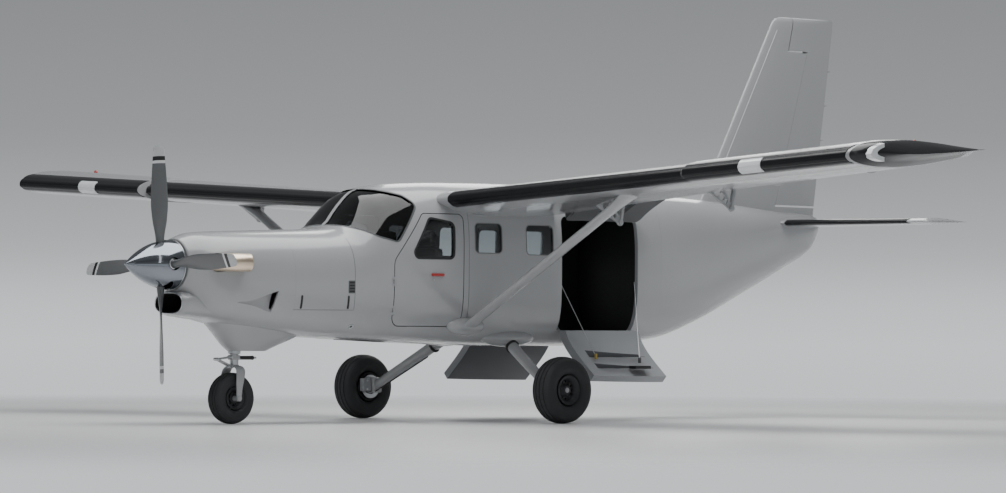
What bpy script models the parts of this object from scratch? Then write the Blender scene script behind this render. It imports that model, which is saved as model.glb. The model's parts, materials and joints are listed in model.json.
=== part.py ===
"""A high-wing bush plane with one turboprop engine, parked with its rear doors open.

Metres, +Z up. The nose points along -Y and the port side is +X. The origin is on the floor,
below the middle of the length. A station is a distance aft of the tip of the spinner.
"""
import math

import bmesh
import bpy
from mathutils import Matrix, Vector

# Driving dimensions
SPAN = 13.72
LENGTH = 10.41
HEIGHT = 4.60
SIDES = (("left", 1.0), ("right", -1.0))

# Gaps: where pieces touch, and where one moves beside another
SEAT_GAP = 0.0003
MOVING_GAP = 0.008

# Fuselage
WALL = 0.045
RING_POINTS = 32
FIREWALL = 1.78
BULKHEAD = 0.10
REAR_BULKHEAD = 0.02
CABIN_END = 6.95
FLOOR_TOP = 0.98
COCKPIT_FLOOR_TOP = 0.97

# Wing
WING_FRONT = 3.69
WING_BACK = 5.31
ROOT_X = 0.90
ROOT_FRONT_Z = 2.36
ROOT_BACK_Z = 2.24
FRONT_RISE = 0.053
BACK_RISE = 0.082

# Colours: red, green, blue, roughness, metallic
WHITE = (0.62, 0.63, 0.65, 0.25, 0.0)
BLACK = (0.015, 0.015, 0.017, 0.4, 0.0)
DARK_GREY = (0.05, 0.052, 0.055, 0.6, 0.0)
MID_GREY = (0.2, 0.21, 0.22, 0.5, 0.0)
RUBBER = (0.02, 0.021, 0.022, 0.8, 0.0)
CHROME = (0.35, 0.36, 0.38, 0.12, 1.0)
STEEL = (0.45, 0.46, 0.48, 0.35, 1.0)
GOLD_METAL = (0.6, 0.45, 0.3, 0.25, 1.0)
TINTED_GLASS = (0.05, 0.055, 0.06, 0.05, 0.0)


# Places and materials

def at(x, station, z):
    """A point from its side distance, its station and its height."""
    return Vector((x, station - LENGTH / 2, z))


def material(colour):
    red, green, blue, roughness, metallic = colour
    name = f"paint_{red}_{green}_{blue}_{roughness}"
    found = bpy.data.materials.get(name)
    if found:
        return found
    made = bpy.data.materials.new(name)
    made.use_nodes = True
    shader = made.node_tree.nodes["Principled BSDF"]
    shader.inputs["Base Color"].default_value = (red, green, blue, 1.0)
    shader.inputs["Roughness"].default_value = roughness
    shader.inputs["Metallic"].default_value = metallic
    made.diffuse_color = (red, green, blue, 1.0)
    return made


# Making and joining meshes

def object_from(bm, name):
    """An object at the world's origin from a bmesh, its faces turned outwards."""
    bmesh.ops.recalc_face_normals(bm, faces=bm.faces)
    mesh = bpy.data.meshes.new(name)
    bm.to_mesh(mesh)
    bm.free()
    made = bpy.data.objects.new(name, mesh)
    bpy.context.scene.collection.objects.link(made)
    return made


def loft(rings, name="loft"):
    """A closed skin through rings of points, with flat ends.

    Its faces are triangles that all lean one way, so that two skins a little apart never cross.
    """
    bm = bmesh.new()
    loops = [[bm.verts.new(point) for point in ring] for ring in rings]
    count = len(loops[0])
    for first, second in zip(loops, loops[1:]):
        for i in range(count):
            j = (i + 1) % count
            bm.faces.new((first[i], first[j], second[j]))
            bm.faces.new((first[i], second[j], second[i]))
    bm.faces.new(loops[0])
    bm.faces.new(loops[-1])
    return object_from(bm, name)


def side_prism(outline, x0, x1, name="prism"):
    """An outline of (station, height) points, pushed across from x0 to x1."""
    return loft([[at(x, station, z) for station, z in outline] for x in (x0, x1)], name)


def box(x_range, station_range, z_range, name="box"):
    corners = [(s, z) for s, z in (
        (station_range[0], z_range[0]), (station_range[1], z_range[0]),
        (station_range[1], z_range[1]), (station_range[0], z_range[1]))]
    return side_prism(corners, x_range[0], x_range[1], name)


def turned(profile, centre, axis, name="turned", steps=32):
    """A profile of (radius, distance along the axis) points, turned about the axis.

    The radius is that of the flats, and a flat faces straight down on a level axis.
    Where the profile's ends aren't on the axis it is a closed loop, and the result is a ring.
    """
    axis = Vector(axis).normalized()
    guide = Vector((1, 0, 0)) if abs(axis.z) > 0.9 else Vector((0, 0, 1))
    across = (guide - axis * guide.dot(axis)).normalized()
    other = axis.cross(across)
    centre = Vector(centre)
    bm = bmesh.new()
    rows = []
    for radius, along in profile:
        middle = centre + axis * along
        if radius == 0:
            rows.append([bm.verts.new(middle)])
            continue
        row = []
        corner = radius / math.cos(math.pi / steps)
        for i in range(steps):
            turn = 2 * math.pi * (i + 0.5) / steps
            row.append(bm.verts.new(middle + corner * (across * math.cos(turn) + other * math.sin(turn))))
        rows.append(row)
    ring = profile[0][0] > 0 and profile[-1][0] > 0
    pairs = list(zip(rows, rows[1:]))
    if ring:
        pairs.append((rows[-1], rows[0]))
    for first, second in pairs:
        for i in range(steps):
            j = (i + 1) % steps
            corners = [first[i % len(first)], first[j % len(first)],
                       second[j % len(second)], second[i % len(second)]]
            bm.faces.new(list(dict.fromkeys(corners)))
    return object_from(bm, name)


def rod(start, end, radius, end_radius=None, steps=16):
    """A round bar between two points, tapered where its end radius is given."""
    start, end = Vector(start), Vector(end)
    length = (end - start).length
    last = end_radius or radius
    return turned([(0, 0), (radius, 0), (last, length), (0, length)], start, end - start, "rod", steps)


def plate(start, end, along, width, thickness, end_width=None):
    """A flat bar from start to end, wide in one direction and thin in the other."""
    start, end, along = Vector(start), Vector(end), Vector(along).normalized()
    normal = (end - start).cross(along).normalized() * thickness / 2
    rings = []
    for middle, wide in ((start, width), (end, end_width or width)):
        reach = along * wide / 2
        rings.append([middle + reach + normal, middle - reach + normal,
                      middle - reach - normal, middle + reach - normal])
    return loft(rings, "plate")


def swept(path, radii, height_share=1.0, steps=20):
    """A pipe that follows a level path, with a radius at each of its points."""
    rings = []
    for i, middle in enumerate(path):
        way = (path[min(i + 1, len(path) - 1)] - path[max(i - 1, 0)]).normalized()
        across = way.cross(Vector((0, 0, 1))).normalized()
        ring = []
        for k in range(steps):
            turn = 2 * math.pi * k / steps
            up = Vector((0, 0, math.sin(turn) * height_share))
            ring.append(middle + (across * math.cos(turn) + up) * radii[i])
        rings.append(ring)
    return loft(rings, "pipe")


def combine(target, other, operation, keep=False):
    """Cuts, joins or intersects the target with another object."""
    modifier = target.modifiers.new(operation.lower(), "BOOLEAN")
    modifier.operation = operation
    modifier.object = other
    view = bpy.context.evaluated_depsgraph_get()
    result = bpy.data.meshes.new_from_object(target.evaluated_get(view))
    target.modifiers.clear()
    target.data = result
    if not keep:
        bpy.data.objects.remove(other)
    return target


def cut(target, cutter, keep=False):
    return combine(target, cutter, "DIFFERENCE", keep)


def join(target, *others):
    for other in others:
        combine(target, other, "UNION")
    return target


def common(target, other, keep=False):
    return combine(target, other, "INTERSECT", keep)


def copy_of(source):
    made = source.copy()
    made.data = source.data.copy()
    bpy.context.scene.collection.objects.link(made)
    return made


def mirrored(source):
    """A copy on the other side of the middle plane."""
    made = copy_of(source)
    made.data.transform(Matrix.Scale(-1, 4, (1, 0, 0)))
    made.data.flip_normals()
    return made


def to_side(made, side):
    """The object as it is for the left, or its mirror image for the right."""
    if side > 0:
        return made
    flipped = mirrored(made)
    bpy.data.objects.remove(made)
    return flipped


def finish(made, name, colour, pivot=None):
    """Names an object, gives it its material, and hangs it on its joint's empty."""
    made.name = name
    made.data.name = name
    made.data.materials.clear()
    made.data.materials.append(material(colour))
    made.data.shade_smooth()
    made.data.set_sharp_from_angle(angle=math.radians(35))
    if pivot:
        made.data.transform(pivot.matrix_basis.inverted())
        made.parent = pivot
    return made


def pivot_at(name, place, axis):
    """A joint's empty: its place is on the joint's axis, and its Z runs along it."""
    made = bpy.data.objects.new(name, None)
    made.location = place
    made.rotation_euler = Vector(axis).to_track_quat("Z", "Y").to_euler()
    bpy.context.scene.collection.objects.link(made)
    return made


# Hinges: a moving knuckle between two fixed ones, all on the joint's axis

KNUCKLE_RADIUS = 0.010
KNUCKLE_HALF = 0.02
KNUCKLE_END = 0.05
LEAF_THICK = 0.01
AXIS_OFF_SKIN = 0.016


def knuckle(place, axis, near, far, leaf_end):
    """A piece of a hinge's barrel, with the leaf that fastens it, which leaves square to the axis."""
    axis = Vector(axis).normalized()
    leaf_end = leaf_end - axis * (leaf_end - place).dot(axis)
    barrel = rod(place + axis * near, place + axis * far, KNUCKLE_RADIUS, steps=8)
    middle = axis * (near + far) / 2
    width = abs(far - near) - 2 * SEAT_GAP
    return join(barrel, plate(place + middle, leaf_end + middle, axis, width, LEAF_THICK))


def add_hinges(fixed, moving, places, axis, fixed_leaf, moving_leaf):
    """Joins each hinge's knuckles to the piece that carries it and to the piece that swings."""
    for place in places:
        join(moving, knuckle(place, axis, -KNUCKLE_HALF, KNUCKLE_HALF, place + moving_leaf))
        for way in (1, -1):
            near = way * (KNUCKLE_HALF + SEAT_GAP)
            join(fixed, knuckle(place, axis, near, way * KNUCKLE_END, place + fixed_leaf))


# The fuselage's shape

# station, half width, bottom, top, height of the widest place, squareness below, squareness above
SECTIONS = (
    (0.62, 0.27, 1.36, 1.90, 1.63, 2.0, 2.0),
    (0.85, 0.41, 1.10, 1.965, 1.55, 2.4, 2.2),
    (1.20, 0.49, 1.02, 1.985, 1.50, 2.6, 2.4),
    (1.78, 0.58, 0.95, 2.006, 1.48, 3.0, 2.5),
    (2.30, 0.64, 0.90, 2.025, 1.50, 3.2, 2.6),
    (2.62, 0.66, 0.885, 2.07, 1.52, 3.4, 2.6),
    (2.80, 0.67, 0.875, 2.26, 1.56, 3.6, 2.4),
    (3.02, 0.685, 0.868, 2.44, 1.60, 3.8, 2.5),
    (3.42, 0.71, 0.85, 2.52, 1.64, 4.0, 3.0),
    (4.00, 0.725, 0.83, 2.55, 1.66, 4.0, 3.6),
    (4.80, 0.725, 0.81, 2.56, 1.66, 4.0, 3.6),
    (5.50, 0.725, 0.807, 2.56, 1.66, 4.0, 3.6),
    (6.50, 0.71, 0.82, 2.53, 1.68, 3.8, 3.4),
    (7.23, 0.65, 0.887, 2.50, 1.74, 3.4, 3.2),
    (7.84, 0.56, 1.046, 2.475, 1.82, 3.0, 3.0),
    (8.72, 0.42, 1.38, 2.42, 1.98, 2.6, 2.6),
    (9.46, 0.27, 1.685, 2.36, 2.08, 2.4, 2.4),
    (10.00, 0.12, 1.935, 2.33, 2.16, 2.2, 2.2),
    (10.12, 0.06, 2.08, 2.30, 2.19, 2.0, 2.0),
)


def fuselage_section(station):
    """The section's values at any station, straight between the rows of the table."""
    for low, high in zip(SECTIONS, SECTIONS[1:]):
        if low[0] <= station <= high[0]:
            share = (station - low[0]) / (high[0] - low[0])
            return [a + (b - a) * share for a, b in zip(low, high)]
    raise ValueError(station)


def fuselage_ring(station, inset=0.0):
    """One ring of the fuselage, drawn in from the skin by the inset."""
    _, width, bottom, top, middle, square_low, square_high = fuselage_section(station)
    width -= inset
    points = []
    for i in range(RING_POINTS):
        turn = 2 * math.pi * (i + 0.5) / RING_POINTS
        across, up = math.cos(turn), math.sin(turn)
        square = square_high if up > 0 else square_low
        reach = (top - inset - middle) if up > 0 else (middle - bottom - inset)
        x = width * math.copysign(abs(across) ** (2 / square), across)
        z = middle + reach * math.copysign(abs(up) ** (2 / square), up)
        points.append(at(x, station, z))
    return points


def fuselage_body(start, end, inset=0.0):
    """The fuselage as a solid from one station to another."""
    stations = [start] + [row[0] for row in SECTIONS if start < row[0] < end] + [end]
    return loft([fuselage_ring(station, inset) for station in stations])


def skin_x(station, z, inset=0.0):
    """How far out the skin is at a station and a height."""
    _, width, bottom, top, middle, square_low, square_high = fuselage_section(station)
    square, reach = (square_high, top - middle) if z > middle else (square_low, middle - bottom)
    share = min(abs(z - middle) / reach, 1.0)
    return (width - inset) * (1 - share ** square) ** (1 / square)


def rounded(corners, steps=3):
    """An outline of (station, height, radius) corners with their rounds drawn as arcs."""
    points = []
    count = len(corners)
    for i, (station, z, radius) in enumerate(corners):
        here = Vector((station, z))
        if radius == 0:
            points.append(tuple(here))
            continue
        before = (Vector(corners[i - 1][:2]) - here).normalized()
        after = (Vector(corners[(i + 1) % count][:2]) - here).normalized()
        half = before.angle(after) / 2
        reach = radius / math.tan(half)
        middle = here + (before + after).normalized() * (radius / math.sin(half))
        start = here + before * reach - middle
        end = here + after * reach - middle
        for k in range(steps + 1):
            spoke = start.slerp(end, k / steps).normalized() * radius
            points.append(tuple(middle + spoke))
    return points


def grown(outline, amount):
    """The same outline moved outwards, or inwards where the amount is negative."""
    count = len(outline)
    area = sum(outline[i][0] * outline[(i + 1) % count][1] - outline[(i + 1) % count][0] * outline[i][1]
               for i in range(count))
    sign = 1 if area > 0 else -1
    moved = []
    for i, point in enumerate(outline):
        here = Vector(point)
        before = (here - Vector(outline[i - 1])).normalized()
        after = (Vector(outline[(i + 1) % count]) - here).normalized()
        normal = Vector((before.y + after.y, -before.x - after.x)).normalized() * sign
        lean = max(normal.dot(Vector((before.y, -before.x)) * sign), 0.4)
        moved.append(tuple(here + normal * amount / lean))
    return moved


# Outlines in the side view: station, height, corner radius
CREW_DOOR = rounded((
    (3.035, 1.02, 0.12), (3.965, 1.02, 0.12), (3.975, 2.20, 0.06), (3.45, 2.20, 0.06), (3.04, 1.70, 0.15)))
CREW_WINDOW = rounded((
    (3.27, 1.74, 0.05), (3.83, 1.74, 0.05), (3.84, 2.10, 0.06), (3.53, 2.15, 0.05)))
CABIN_WINDOWS = (
    rounded(((4.14, 1.80, 0.05), (4.52, 1.80, 0.05), (4.52, 2.11, 0.05), (4.14, 2.11, 0.05))),
    rounded(((4.88, 1.79, 0.05), (5.27, 1.79, 0.05), (5.27, 2.10, 0.05), (4.88, 2.10, 0.05))),
)
REAR_DOOR_FRONT = 5.40
REAR_DOOR_BACK = 6.56
REAR_DOOR_SILL = 0.98
REAR_DOOR_SPLIT = 1.70
REAR_DOOR_TOP = 2.21
REAR_DOORWAY = rounded((
    (REAR_DOOR_FRONT, REAR_DOOR_SILL, 0.012), (REAR_DOOR_BACK, REAR_DOOR_SILL, 0.012),
    (REAR_DOOR_BACK, REAR_DOOR_TOP, 0.08), (REAR_DOOR_FRONT, REAR_DOOR_TOP, 0.08)))

# The panes of each rear upper door: node name, front station, back station
REAR_WINDOWS = {
    "left": (("rear_door_window_left", 5.80, 6.18),),
    "right": (("rear_door_window_right", 6.04, 6.42), ("rear_door_front_window_right", 5.46, 5.74)),
}
REAR_WINDOW_Z = (1.80, 2.08)
WINDSCREEN = (
    (2.45, 2.16), (2.62, 2.085), (2.68, 2.05), (2.876, 1.955), (3.10, 1.90), (3.40, 2.29), (3.30, 2.39),
    (3.05, 2.47), (2.95, 2.60))
POST_HALF_WIDTH = 0.025
FRAME_REACH = 1.2
GLASS = 0.008
GLASS_INSET = 0.012


def cabin_room(inset):
    """The space inside the cabin's walls, drawn in from the skin by the inset."""
    return fuselage_body(FIREWALL + BULKHEAD, CABIN_END - REAR_BULKHEAD, inset)


def cabin_shell():
    """The cabin's walls and roof, with the doorways and windows cut and the gear's bulges joined."""
    shell = fuselage_body(FIREWALL + SEAT_GAP, CABIN_END - SEAT_GAP)
    for _, side in SIDES:
        join(shell, gear_bulge(side))
    cut(shell, cabin_room(WALL))
    for outline in (grown(CREW_DOOR, MOVING_GAP), REAR_DOORWAY) + CABIN_WINDOWS:
        cut(shell, side_prism(outline, -FRAME_REACH, FRAME_REACH))
    for _, side in SIDES:
        cut(shell, side_prism(WINDSCREEN, side * POST_HALF_WIDTH, side * FRAME_REACH))
    return shell


def wall_piece(outline, side, inset=0.0, thickness=WALL, x_from=0.0):
    """The piece of the wall inside an outline of the side view."""
    outer = fuselage_body(FIREWALL + 0.1, CABIN_END - 0.1, inset)
    cut(outer, fuselage_body(FIREWALL + 0.05, CABIN_END - 0.05, inset + thickness))
    return common(outer, side_prism(outline, side * x_from, side * FRAME_REACH))


def pane(outline, side, x_from=0.0):
    """A window's glass, a seat's gap smaller than its hole."""
    return wall_piece(grown(outline, -SEAT_GAP), side, GLASS_INSET, GLASS, x_from)


def windows():
    """The windscreen's two panes and the cabin's side windows."""
    for name, side in SIDES:
        finish(pane(WINDSCREEN, side, POST_HALF_WIDTH + SEAT_GAP), f"windscreen_{name}", TINTED_GLASS)
        for row, outline in enumerate(CABIN_WINDOWS, 1):
            finish(pane(outline, side), f"window_{row}_{name}", TINTED_GLASS)


# Doors

CREW_HINGE_STATION = 3.03
CREW_HINGE_HEIGHTS = (1.18, 1.48)
UPPER_HINGE_Z = 2.215
UPPER_DOOR_OPEN = 115
STAIR_HINGE_Z = 0.970
STAIR_OPEN = 131
STAIR_THICK = 0.085
REAR_HINGE_STATIONS = (5.62, 6.34)


def skin_places(places, side):
    """Points just off the skin at each (station, height), where a hinge's axis can run."""
    return [at(side * (skin_x(station, z) + AXIS_OFF_SKIN), station, z) for station, z in places]


def hinge_line(name, places):
    """A joint's empty midway between the first and the last of a hinge's places."""
    axis = (places[-1] - places[0]).normalized()
    return pivot_at(name, (places[0] + places[-1]) / 2, axis), axis


def turned_about(made, pivot, axis, degrees):
    """The object swung about a joint's axis."""
    turn = Matrix.Rotation(math.radians(degrees), 4, axis)
    made.data.transform(Matrix.Translation(pivot.location) @ turn @ Matrix.Translation(-pivot.location))
    return made


def crew_doors(shell):
    """The two crew doors, hinged along their front edges."""
    for name, side in SIDES:
        places = skin_places([(CREW_HINGE_STATION, z) for z in CREW_HINGE_HEIGHTS], side)
        pivot, axis = hinge_line(f"crew_door_{name}_hinge", places)
        door = wall_piece(CREW_DOOR, side)
        cut(door, side_prism(CREW_WINDOW, -FRAME_REACH, FRAME_REACH))
        forward = Vector((-side * 0.036, -0.03, 0))
        aft = Vector((-side * 0.036, 0.03, 0))
        add_hinges(shell, door, places, axis, forward, aft)
        finish(door, f"crew_door_{name}", WHITE, pivot)
        finish(pane(CREW_WINDOW, side), f"crew_door_window_{name}", TINTED_GLASS, pivot)


def rear_window(front, back):
    low, high = REAR_WINDOW_Z
    return rounded(((front, low, 0.05), (back, low, 0.05), (back, high, 0.05), (front, high, 0.05)))


def rear_upper_doors(shell):
    """The upper half of each rear door, which swings up behind the wing: the left one is open."""
    low = REAR_DOOR_SPLIT + MOVING_GAP / 2
    high = REAR_DOOR_TOP - MOVING_GAP
    front = REAR_DOOR_FRONT + MOVING_GAP
    back = REAR_DOOR_BACK - MOVING_GAP
    outline = rounded(((front, low, 0.02), (back, low, 0.02), (back, high, 0.07), (front, high, 0.07)))
    for name, side in SIDES:
        places = skin_places([(station, UPPER_HINGE_Z) for station in REAR_HINGE_STATIONS], side)
        pivot, axis = hinge_line(f"rear_upper_door_{name}_hinge", places)
        degrees = -UPPER_DOOR_OPEN if name == "left" else 0
        door = wall_piece(outline, side)
        windows = [(node, rear_window(start, end)) for node, start, end in REAR_WINDOWS[name]]
        for _, hole in windows:
            cut(door, side_prism(hole, -FRAME_REACH, FRAME_REACH))
        upward = Vector((-side * 0.045, 0, 0.028))
        downward = Vector((-side * 0.030, 0, -0.035))
        add_hinges(shell, door, places, axis, upward, downward)
        finish(turned_about(door, pivot, axis, degrees), f"rear_upper_door_{name}", WHITE, pivot)
        for node, hole in windows:
            glass = turned_about(pane(hole, side), pivot, axis, degrees)
            finish(glass, node, TINTED_GLASS, pivot)


# Cuts across the open stair that make its steps: near x, far x, top z, bottom z
STAIR_NOTCHES = ((0.898, 1.05, 0.90, 0.695), (1.045, 1.18, 0.66, 0.575))
STAIR_RAIL = 0.17


def airstairs(shell):
    """The lower half of each rear door, swung down: its inner face is the stair."""
    front = REAR_DOOR_FRONT + MOVING_GAP
    back = REAR_DOOR_BACK - MOVING_GAP
    low = REAR_DOOR_SILL + MOVING_GAP
    high = REAR_DOOR_SPLIT - MOVING_GAP / 2
    outline = ((front, low), (back, low), (back, high), (front, high))
    for name, side in SIDES:
        places = skin_places([(station, STAIR_HINGE_Z) for station in REAR_HINGE_STATIONS], side)
        pivot, axis = hinge_line(f"airstair_{name}_hinge", places)
        stair = turned_about(wall_piece(outline, side, 0.0, STAIR_THICK), pivot, axis, side * STAIR_OPEN)
        sill = REAR_DOOR_SILL - 0.002
        cut(stair, box((side * 0.3, side * 1.4), (front - 0.1, back + 0.1), (sill, sill + 0.5)))
        for x_near, x_far, z_top, z_low in STAIR_NOTCHES:
            notch = box((side * x_near, side * x_far), (front + STAIR_RAIL, back - STAIR_RAIL), (z_low, z_top))
            cut(stair, notch)
        downward = Vector((-side * 0.055, 0, -0.018))
        outward = Vector((side * 0.035, 0, -0.012))
        for place in places:
            reach = axis * (KNUCKLE_HALF + SEAT_GAP / 2)
            cut(shell, rod(place - reach, place + reach, KNUCKLE_RADIUS + 0.008, steps=12))
        add_hinges(shell, stair, places, axis, downward, outward)
        finish(stair, f"airstair_{name}", MID_GREY, pivot)


# Nose: cowling, engine, exhausts, spinner and propeller

PROP_STATION = 0.465
PROP_Z = 1.63
SPINNER_RADIUS = 0.255
SPINNER_BACK = 0.60
SPINNER_WALL = 0.006
BACKPLATE = 0.015
HUB_RADIUS = 0.11
SOCKET_RADIUS = 0.05
SOCKET_END = 0.19
SHAFT_RADIUS = 0.06
COWL_FRONT = 0.62
COWL_FRONT_WALL = 0.04
COWL_WALL = 0.025
ENGINE_FRONT = 0.75
ENGINE_RADIUS = 0.24
BLADES = 4
BLADE_TURN = 1.8

# station, half width, half height, height of the middle
INTAKE_ROWS = ((0.575, 0.225, 0.112, 1.240), (0.60, 0.245, 0.124, 1.238), (0.68, 0.262, 0.142, 1.240),
               (0.80, 0.280, 0.145, 1.228), (1.20, 0.310, 0.120, 1.17))
DUCT_ROWS = ((0.55, 0.212, 0.100, 1.240), (0.66, 0.200, 0.096, 1.240), (0.95, 0.150, 0.070, 1.230))
INTAKE_SQUARENESS = 2.5
OVAL_POINTS = 20

# Flush side inlets: station, half height, depth below the skin
INLET_ROWS = ((1.13, 0.008, 0.003), (1.24, 0.022, 0.012), (1.36, 0.058, 0.026), (1.46, 0.096, 0.046),
              (1.55, 0.125, 0.065))
INLET_Z = 1.25
INLET_SLANT = 0.24

# Exhaust pipe: side distance, station, radius
EXHAUST_PATH = ((ENGINE_RADIUS + SEAT_GAP, 0.87, 0.085), (0.40, 0.87, 0.085), (0.475, 0.91, 0.086),
                (0.522, 0.98, 0.088), (0.548, 1.07, 0.088), (0.562, 1.17, 0.086))
EXHAUST_Z = 1.655
EXHAUST_HEIGHT_SHARE = 1.05
EXHAUST_WALL = 0.008
EXHAUST_HOLE = (0.855, 0.15, 0.135)


def oval_ring(station, half_width, half_height, z, squareness=2.0, x=0.0):
    """A ring across the fuselage with its own squareness."""
    points = []
    for i in range(OVAL_POINTS):
        turn = 2 * math.pi * (i + 0.5) / OVAL_POINTS
        across, up = math.cos(turn), math.sin(turn)
        points.append(at(x + half_width * math.copysign(abs(across) ** (2 / squareness), across), station,
                         z + half_height * math.copysign(abs(up) ** (2 / squareness), up)))
    return points


def intake(rows):
    return loft([oval_ring(*row, INTAKE_SQUARENESS) for row in rows])


def inlet(side):
    """The tapered ramp of a flush inlet in the cowling's side, deepest at its slanted aft end."""
    rings = []
    for station, half_height, depth in INLET_ROWS:
        ring = oval_ring(station, depth, half_height, INLET_Z, 3.0, side * skin_x(station, INLET_Z))
        rings.append([point + Vector((0, (point.z - INLET_Z) * INLET_SLANT, 0)) for point in ring])
    return loft(rings)


def cowling():
    """The cowling with its chin intake, side inlets and holes for the shaft and the exhausts."""
    cowl = fuselage_body(COWL_FRONT, FIREWALL - SEAT_GAP)
    cut(cowl, fuselage_body(COWL_FRONT + COWL_FRONT_WALL, FIREWALL + 0.05, COWL_WALL))
    for _, side in SIDES:
        cut(cowl, inlet(side))
        station, half_length, half_height = EXHAUST_HOLE
        hole = [(station + half_length * math.cos(math.pi * k / 10),
                 EXHAUST_Z + half_height * math.sin(math.pi * k / 10)) for k in range(20)]
        cut(cowl, side_prism(hole, side * 0.2, side * 0.8))
    join(cowl, intake(INTAKE_ROWS))
    cut(cowl, intake(DUCT_ROWS))
    cut(cowl, rod(at(0, 0.5, PROP_Z), at(0, 0.72, PROP_Z), SHAFT_RADIUS + 0.03))
    return finish(cowl, "engine_cowling", WHITE)


def engine():
    """One plain block for the engine, with the shaft that carries the propeller."""
    block = rod(at(0, ENGINE_FRONT, PROP_Z), at(0, FIREWALL, PROP_Z), ENGINE_RADIUS)
    join(block, rod(at(0, SPINNER_BACK + SEAT_GAP, PROP_Z), at(0, ENGINE_FRONT + 0.05, PROP_Z), SHAFT_RADIUS))
    return finish(block, "engine_block", STEEL)


def exhausts():
    """Two stub pipes that leave the engine's sides and bend aft."""
    for name, side in SIDES:
        path = [at(side * x, station, EXHAUST_Z) for x, station, _ in EXHAUST_PATH]
        radii = [radius for _, _, radius in EXHAUST_PATH]
        pipe = swept(path, radii, EXHAUST_HEIGHT_SHARE)
        bore_path = path[1:-1] + [path[-1], path[-1] + (path[-1] - path[-2]).normalized() * 0.02]
        bore_radii = [radius - EXHAUST_WALL for radius in radii[1:] + radii[-1:]]
        cut(pipe, swept(bore_path, bore_radii, EXHAUST_HEIGHT_SHARE))
        finish(pipe, f"exhaust_{name}", GOLD_METAL)


def spinner_shape(inset):
    """The spinner's pointed round shape, drawn in by the inset."""
    rows = 7
    tip = inset * 3
    back = SPINNER_BACK - (BACKPLATE if inset else 0)
    profile = [(0, tip)]
    for i in range(1, rows + 1):
        along = tip + (back - tip) * i / rows
        full = SPINNER_RADIUS * (1 - (1 - (along - tip) / (SPINNER_BACK - tip)) ** 2)
        profile.append((full - inset, along))
    profile.append((0, back))
    return turned(profile, at(0, 0, PROP_Z), (0, 1, 0), steps=24)


def blade_ways():
    """Each blade's direction away from the axis, and the direction of its leading edge."""
    ways = []
    for blade in range(BLADES):
        turn = math.radians(BLADE_TURN + 360 / BLADES * blade)
        ways.append((Vector((-math.sin(turn), 0, math.cos(turn))), Vector((-math.cos(turn), 0, -math.sin(turn)))))
    return ways


def propeller_centre(pivot):
    """The spinner, cut for the blades' roots, and the hub inside it."""
    middle = at(0, PROP_STATION, PROP_Z)
    cover = spinner_shape(0.0)
    cut(cover, spinner_shape(SPINNER_WALL))
    hub = rod(at(0, 0.33, PROP_Z), at(0, SPINNER_BACK - BACKPLATE - SEAT_GAP, PROP_Z), HUB_RADIUS)
    for out, _ in blade_ways():
        cut(cover, rod(middle + out * 0.15, middle + out * 0.30, SOCKET_RADIUS + 0.012))
        join(hub, rod(middle, middle + out * SOCKET_END, SOCKET_RADIUS))
    finish(cover, "spinner", CHROME, pivot)
    finish(hub, "propeller_hub", STEEL, pivot)


# radius from the axis, chord, thickness, twist in degrees
BLADE_ROWS = (
    (SOCKET_END + SEAT_GAP, 0.084, 0.084, 60), (0.262, 0.09, 0.075, 60), (0.34, 0.11, 0.055, 52),
    (0.45, 0.15, 0.035, 42), (0.65, 0.185, 0.024, 32), (0.85, 0.175, 0.017, 26), (1.05, 0.15, 0.012, 22),
    (1.17, 0.125, 0.009, 20), (1.22, 0.07, 0.006, 20),
)


def blades(pivot):
    for blade, (out, round_way) in enumerate(blade_ways(), 1):
        rings = []
        for radius, chord, thick, twist in BLADE_ROWS:
            angle = math.radians(twist)
            chord_way = round_way * math.cos(angle) - Vector((0, 1, 0)) * math.sin(angle)
            thick_way = out.cross(chord_way)
            ring = []
            for i in range(12):
                spoke = 2 * math.pi * i / 12
                ring.append(at(0, PROP_STATION, PROP_Z) + out * radius + chord_way * chord / 2 * math.cos(spoke)
                            + thick_way * thick / 2 * math.sin(spoke))
            rings.append(ring)
        finish(loft(rings), f"propeller_blade_{blade}", MID_GREY, pivot)


# Wing

AEROFOIL = ((0.0, 0.0), (0.012, 0.022), (0.05, 0.043), (0.12, 0.062), (0.25, 0.077), (0.40, 0.079),
            (0.60, 0.064), (0.75, 0.044), (0.90, 0.020), (1.0, 0.002))
UPPER_SHARE = 1.15
LOWER_SHARE = 0.85
CUFF_X = 4.36
CUFF_REACH = 0.11
TIP_X = 6.60
FLAP_X = (0.80, 4.16)
AILERON_X = (4.20, 6.42)
HINGE_SHARE = 0.74
SURFACE_NOSE = 0.095
FLAP_DROP = 0.25
FLAP_BRACKET_X = (2.13, 3.76)
PIN_RADIUS = 0.02
PIN_HOLE = 0.0206
BRACKET_HALF = 0.011
BRACKET_BAR = 0.026


def wing_row(x):
    """Front station, back station, front height and back height of the wing at a distance from the middle."""
    front = WING_FRONT
    if x >= CUFF_X:
        front -= CUFF_REACH
    rise = x - ROOT_X
    return front, WING_BACK, ROOT_FRONT_Z + FRONT_RISE * rise, ROOT_BACK_Z + BACK_RISE * rise


def aerofoil_ring(x, front, back, front_z, back_z, side, thickness=1.0):
    """One ring of a wing-like surface, over the top from back to front and back below."""
    chord = back - front
    points = []
    for share, half in reversed(AEROFOIL):
        base = front_z + (back_z - front_z) * share
        points.append(at(side * x, front + chord * share, base + half * UPPER_SHARE * chord * thickness))
    for share, half in AEROFOIL[1:]:
        base = front_z + (back_z - front_z) * share
        points.append(at(side * x, front + chord * share, base - half * LOWER_SHARE * chord * thickness))
    return points


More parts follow.
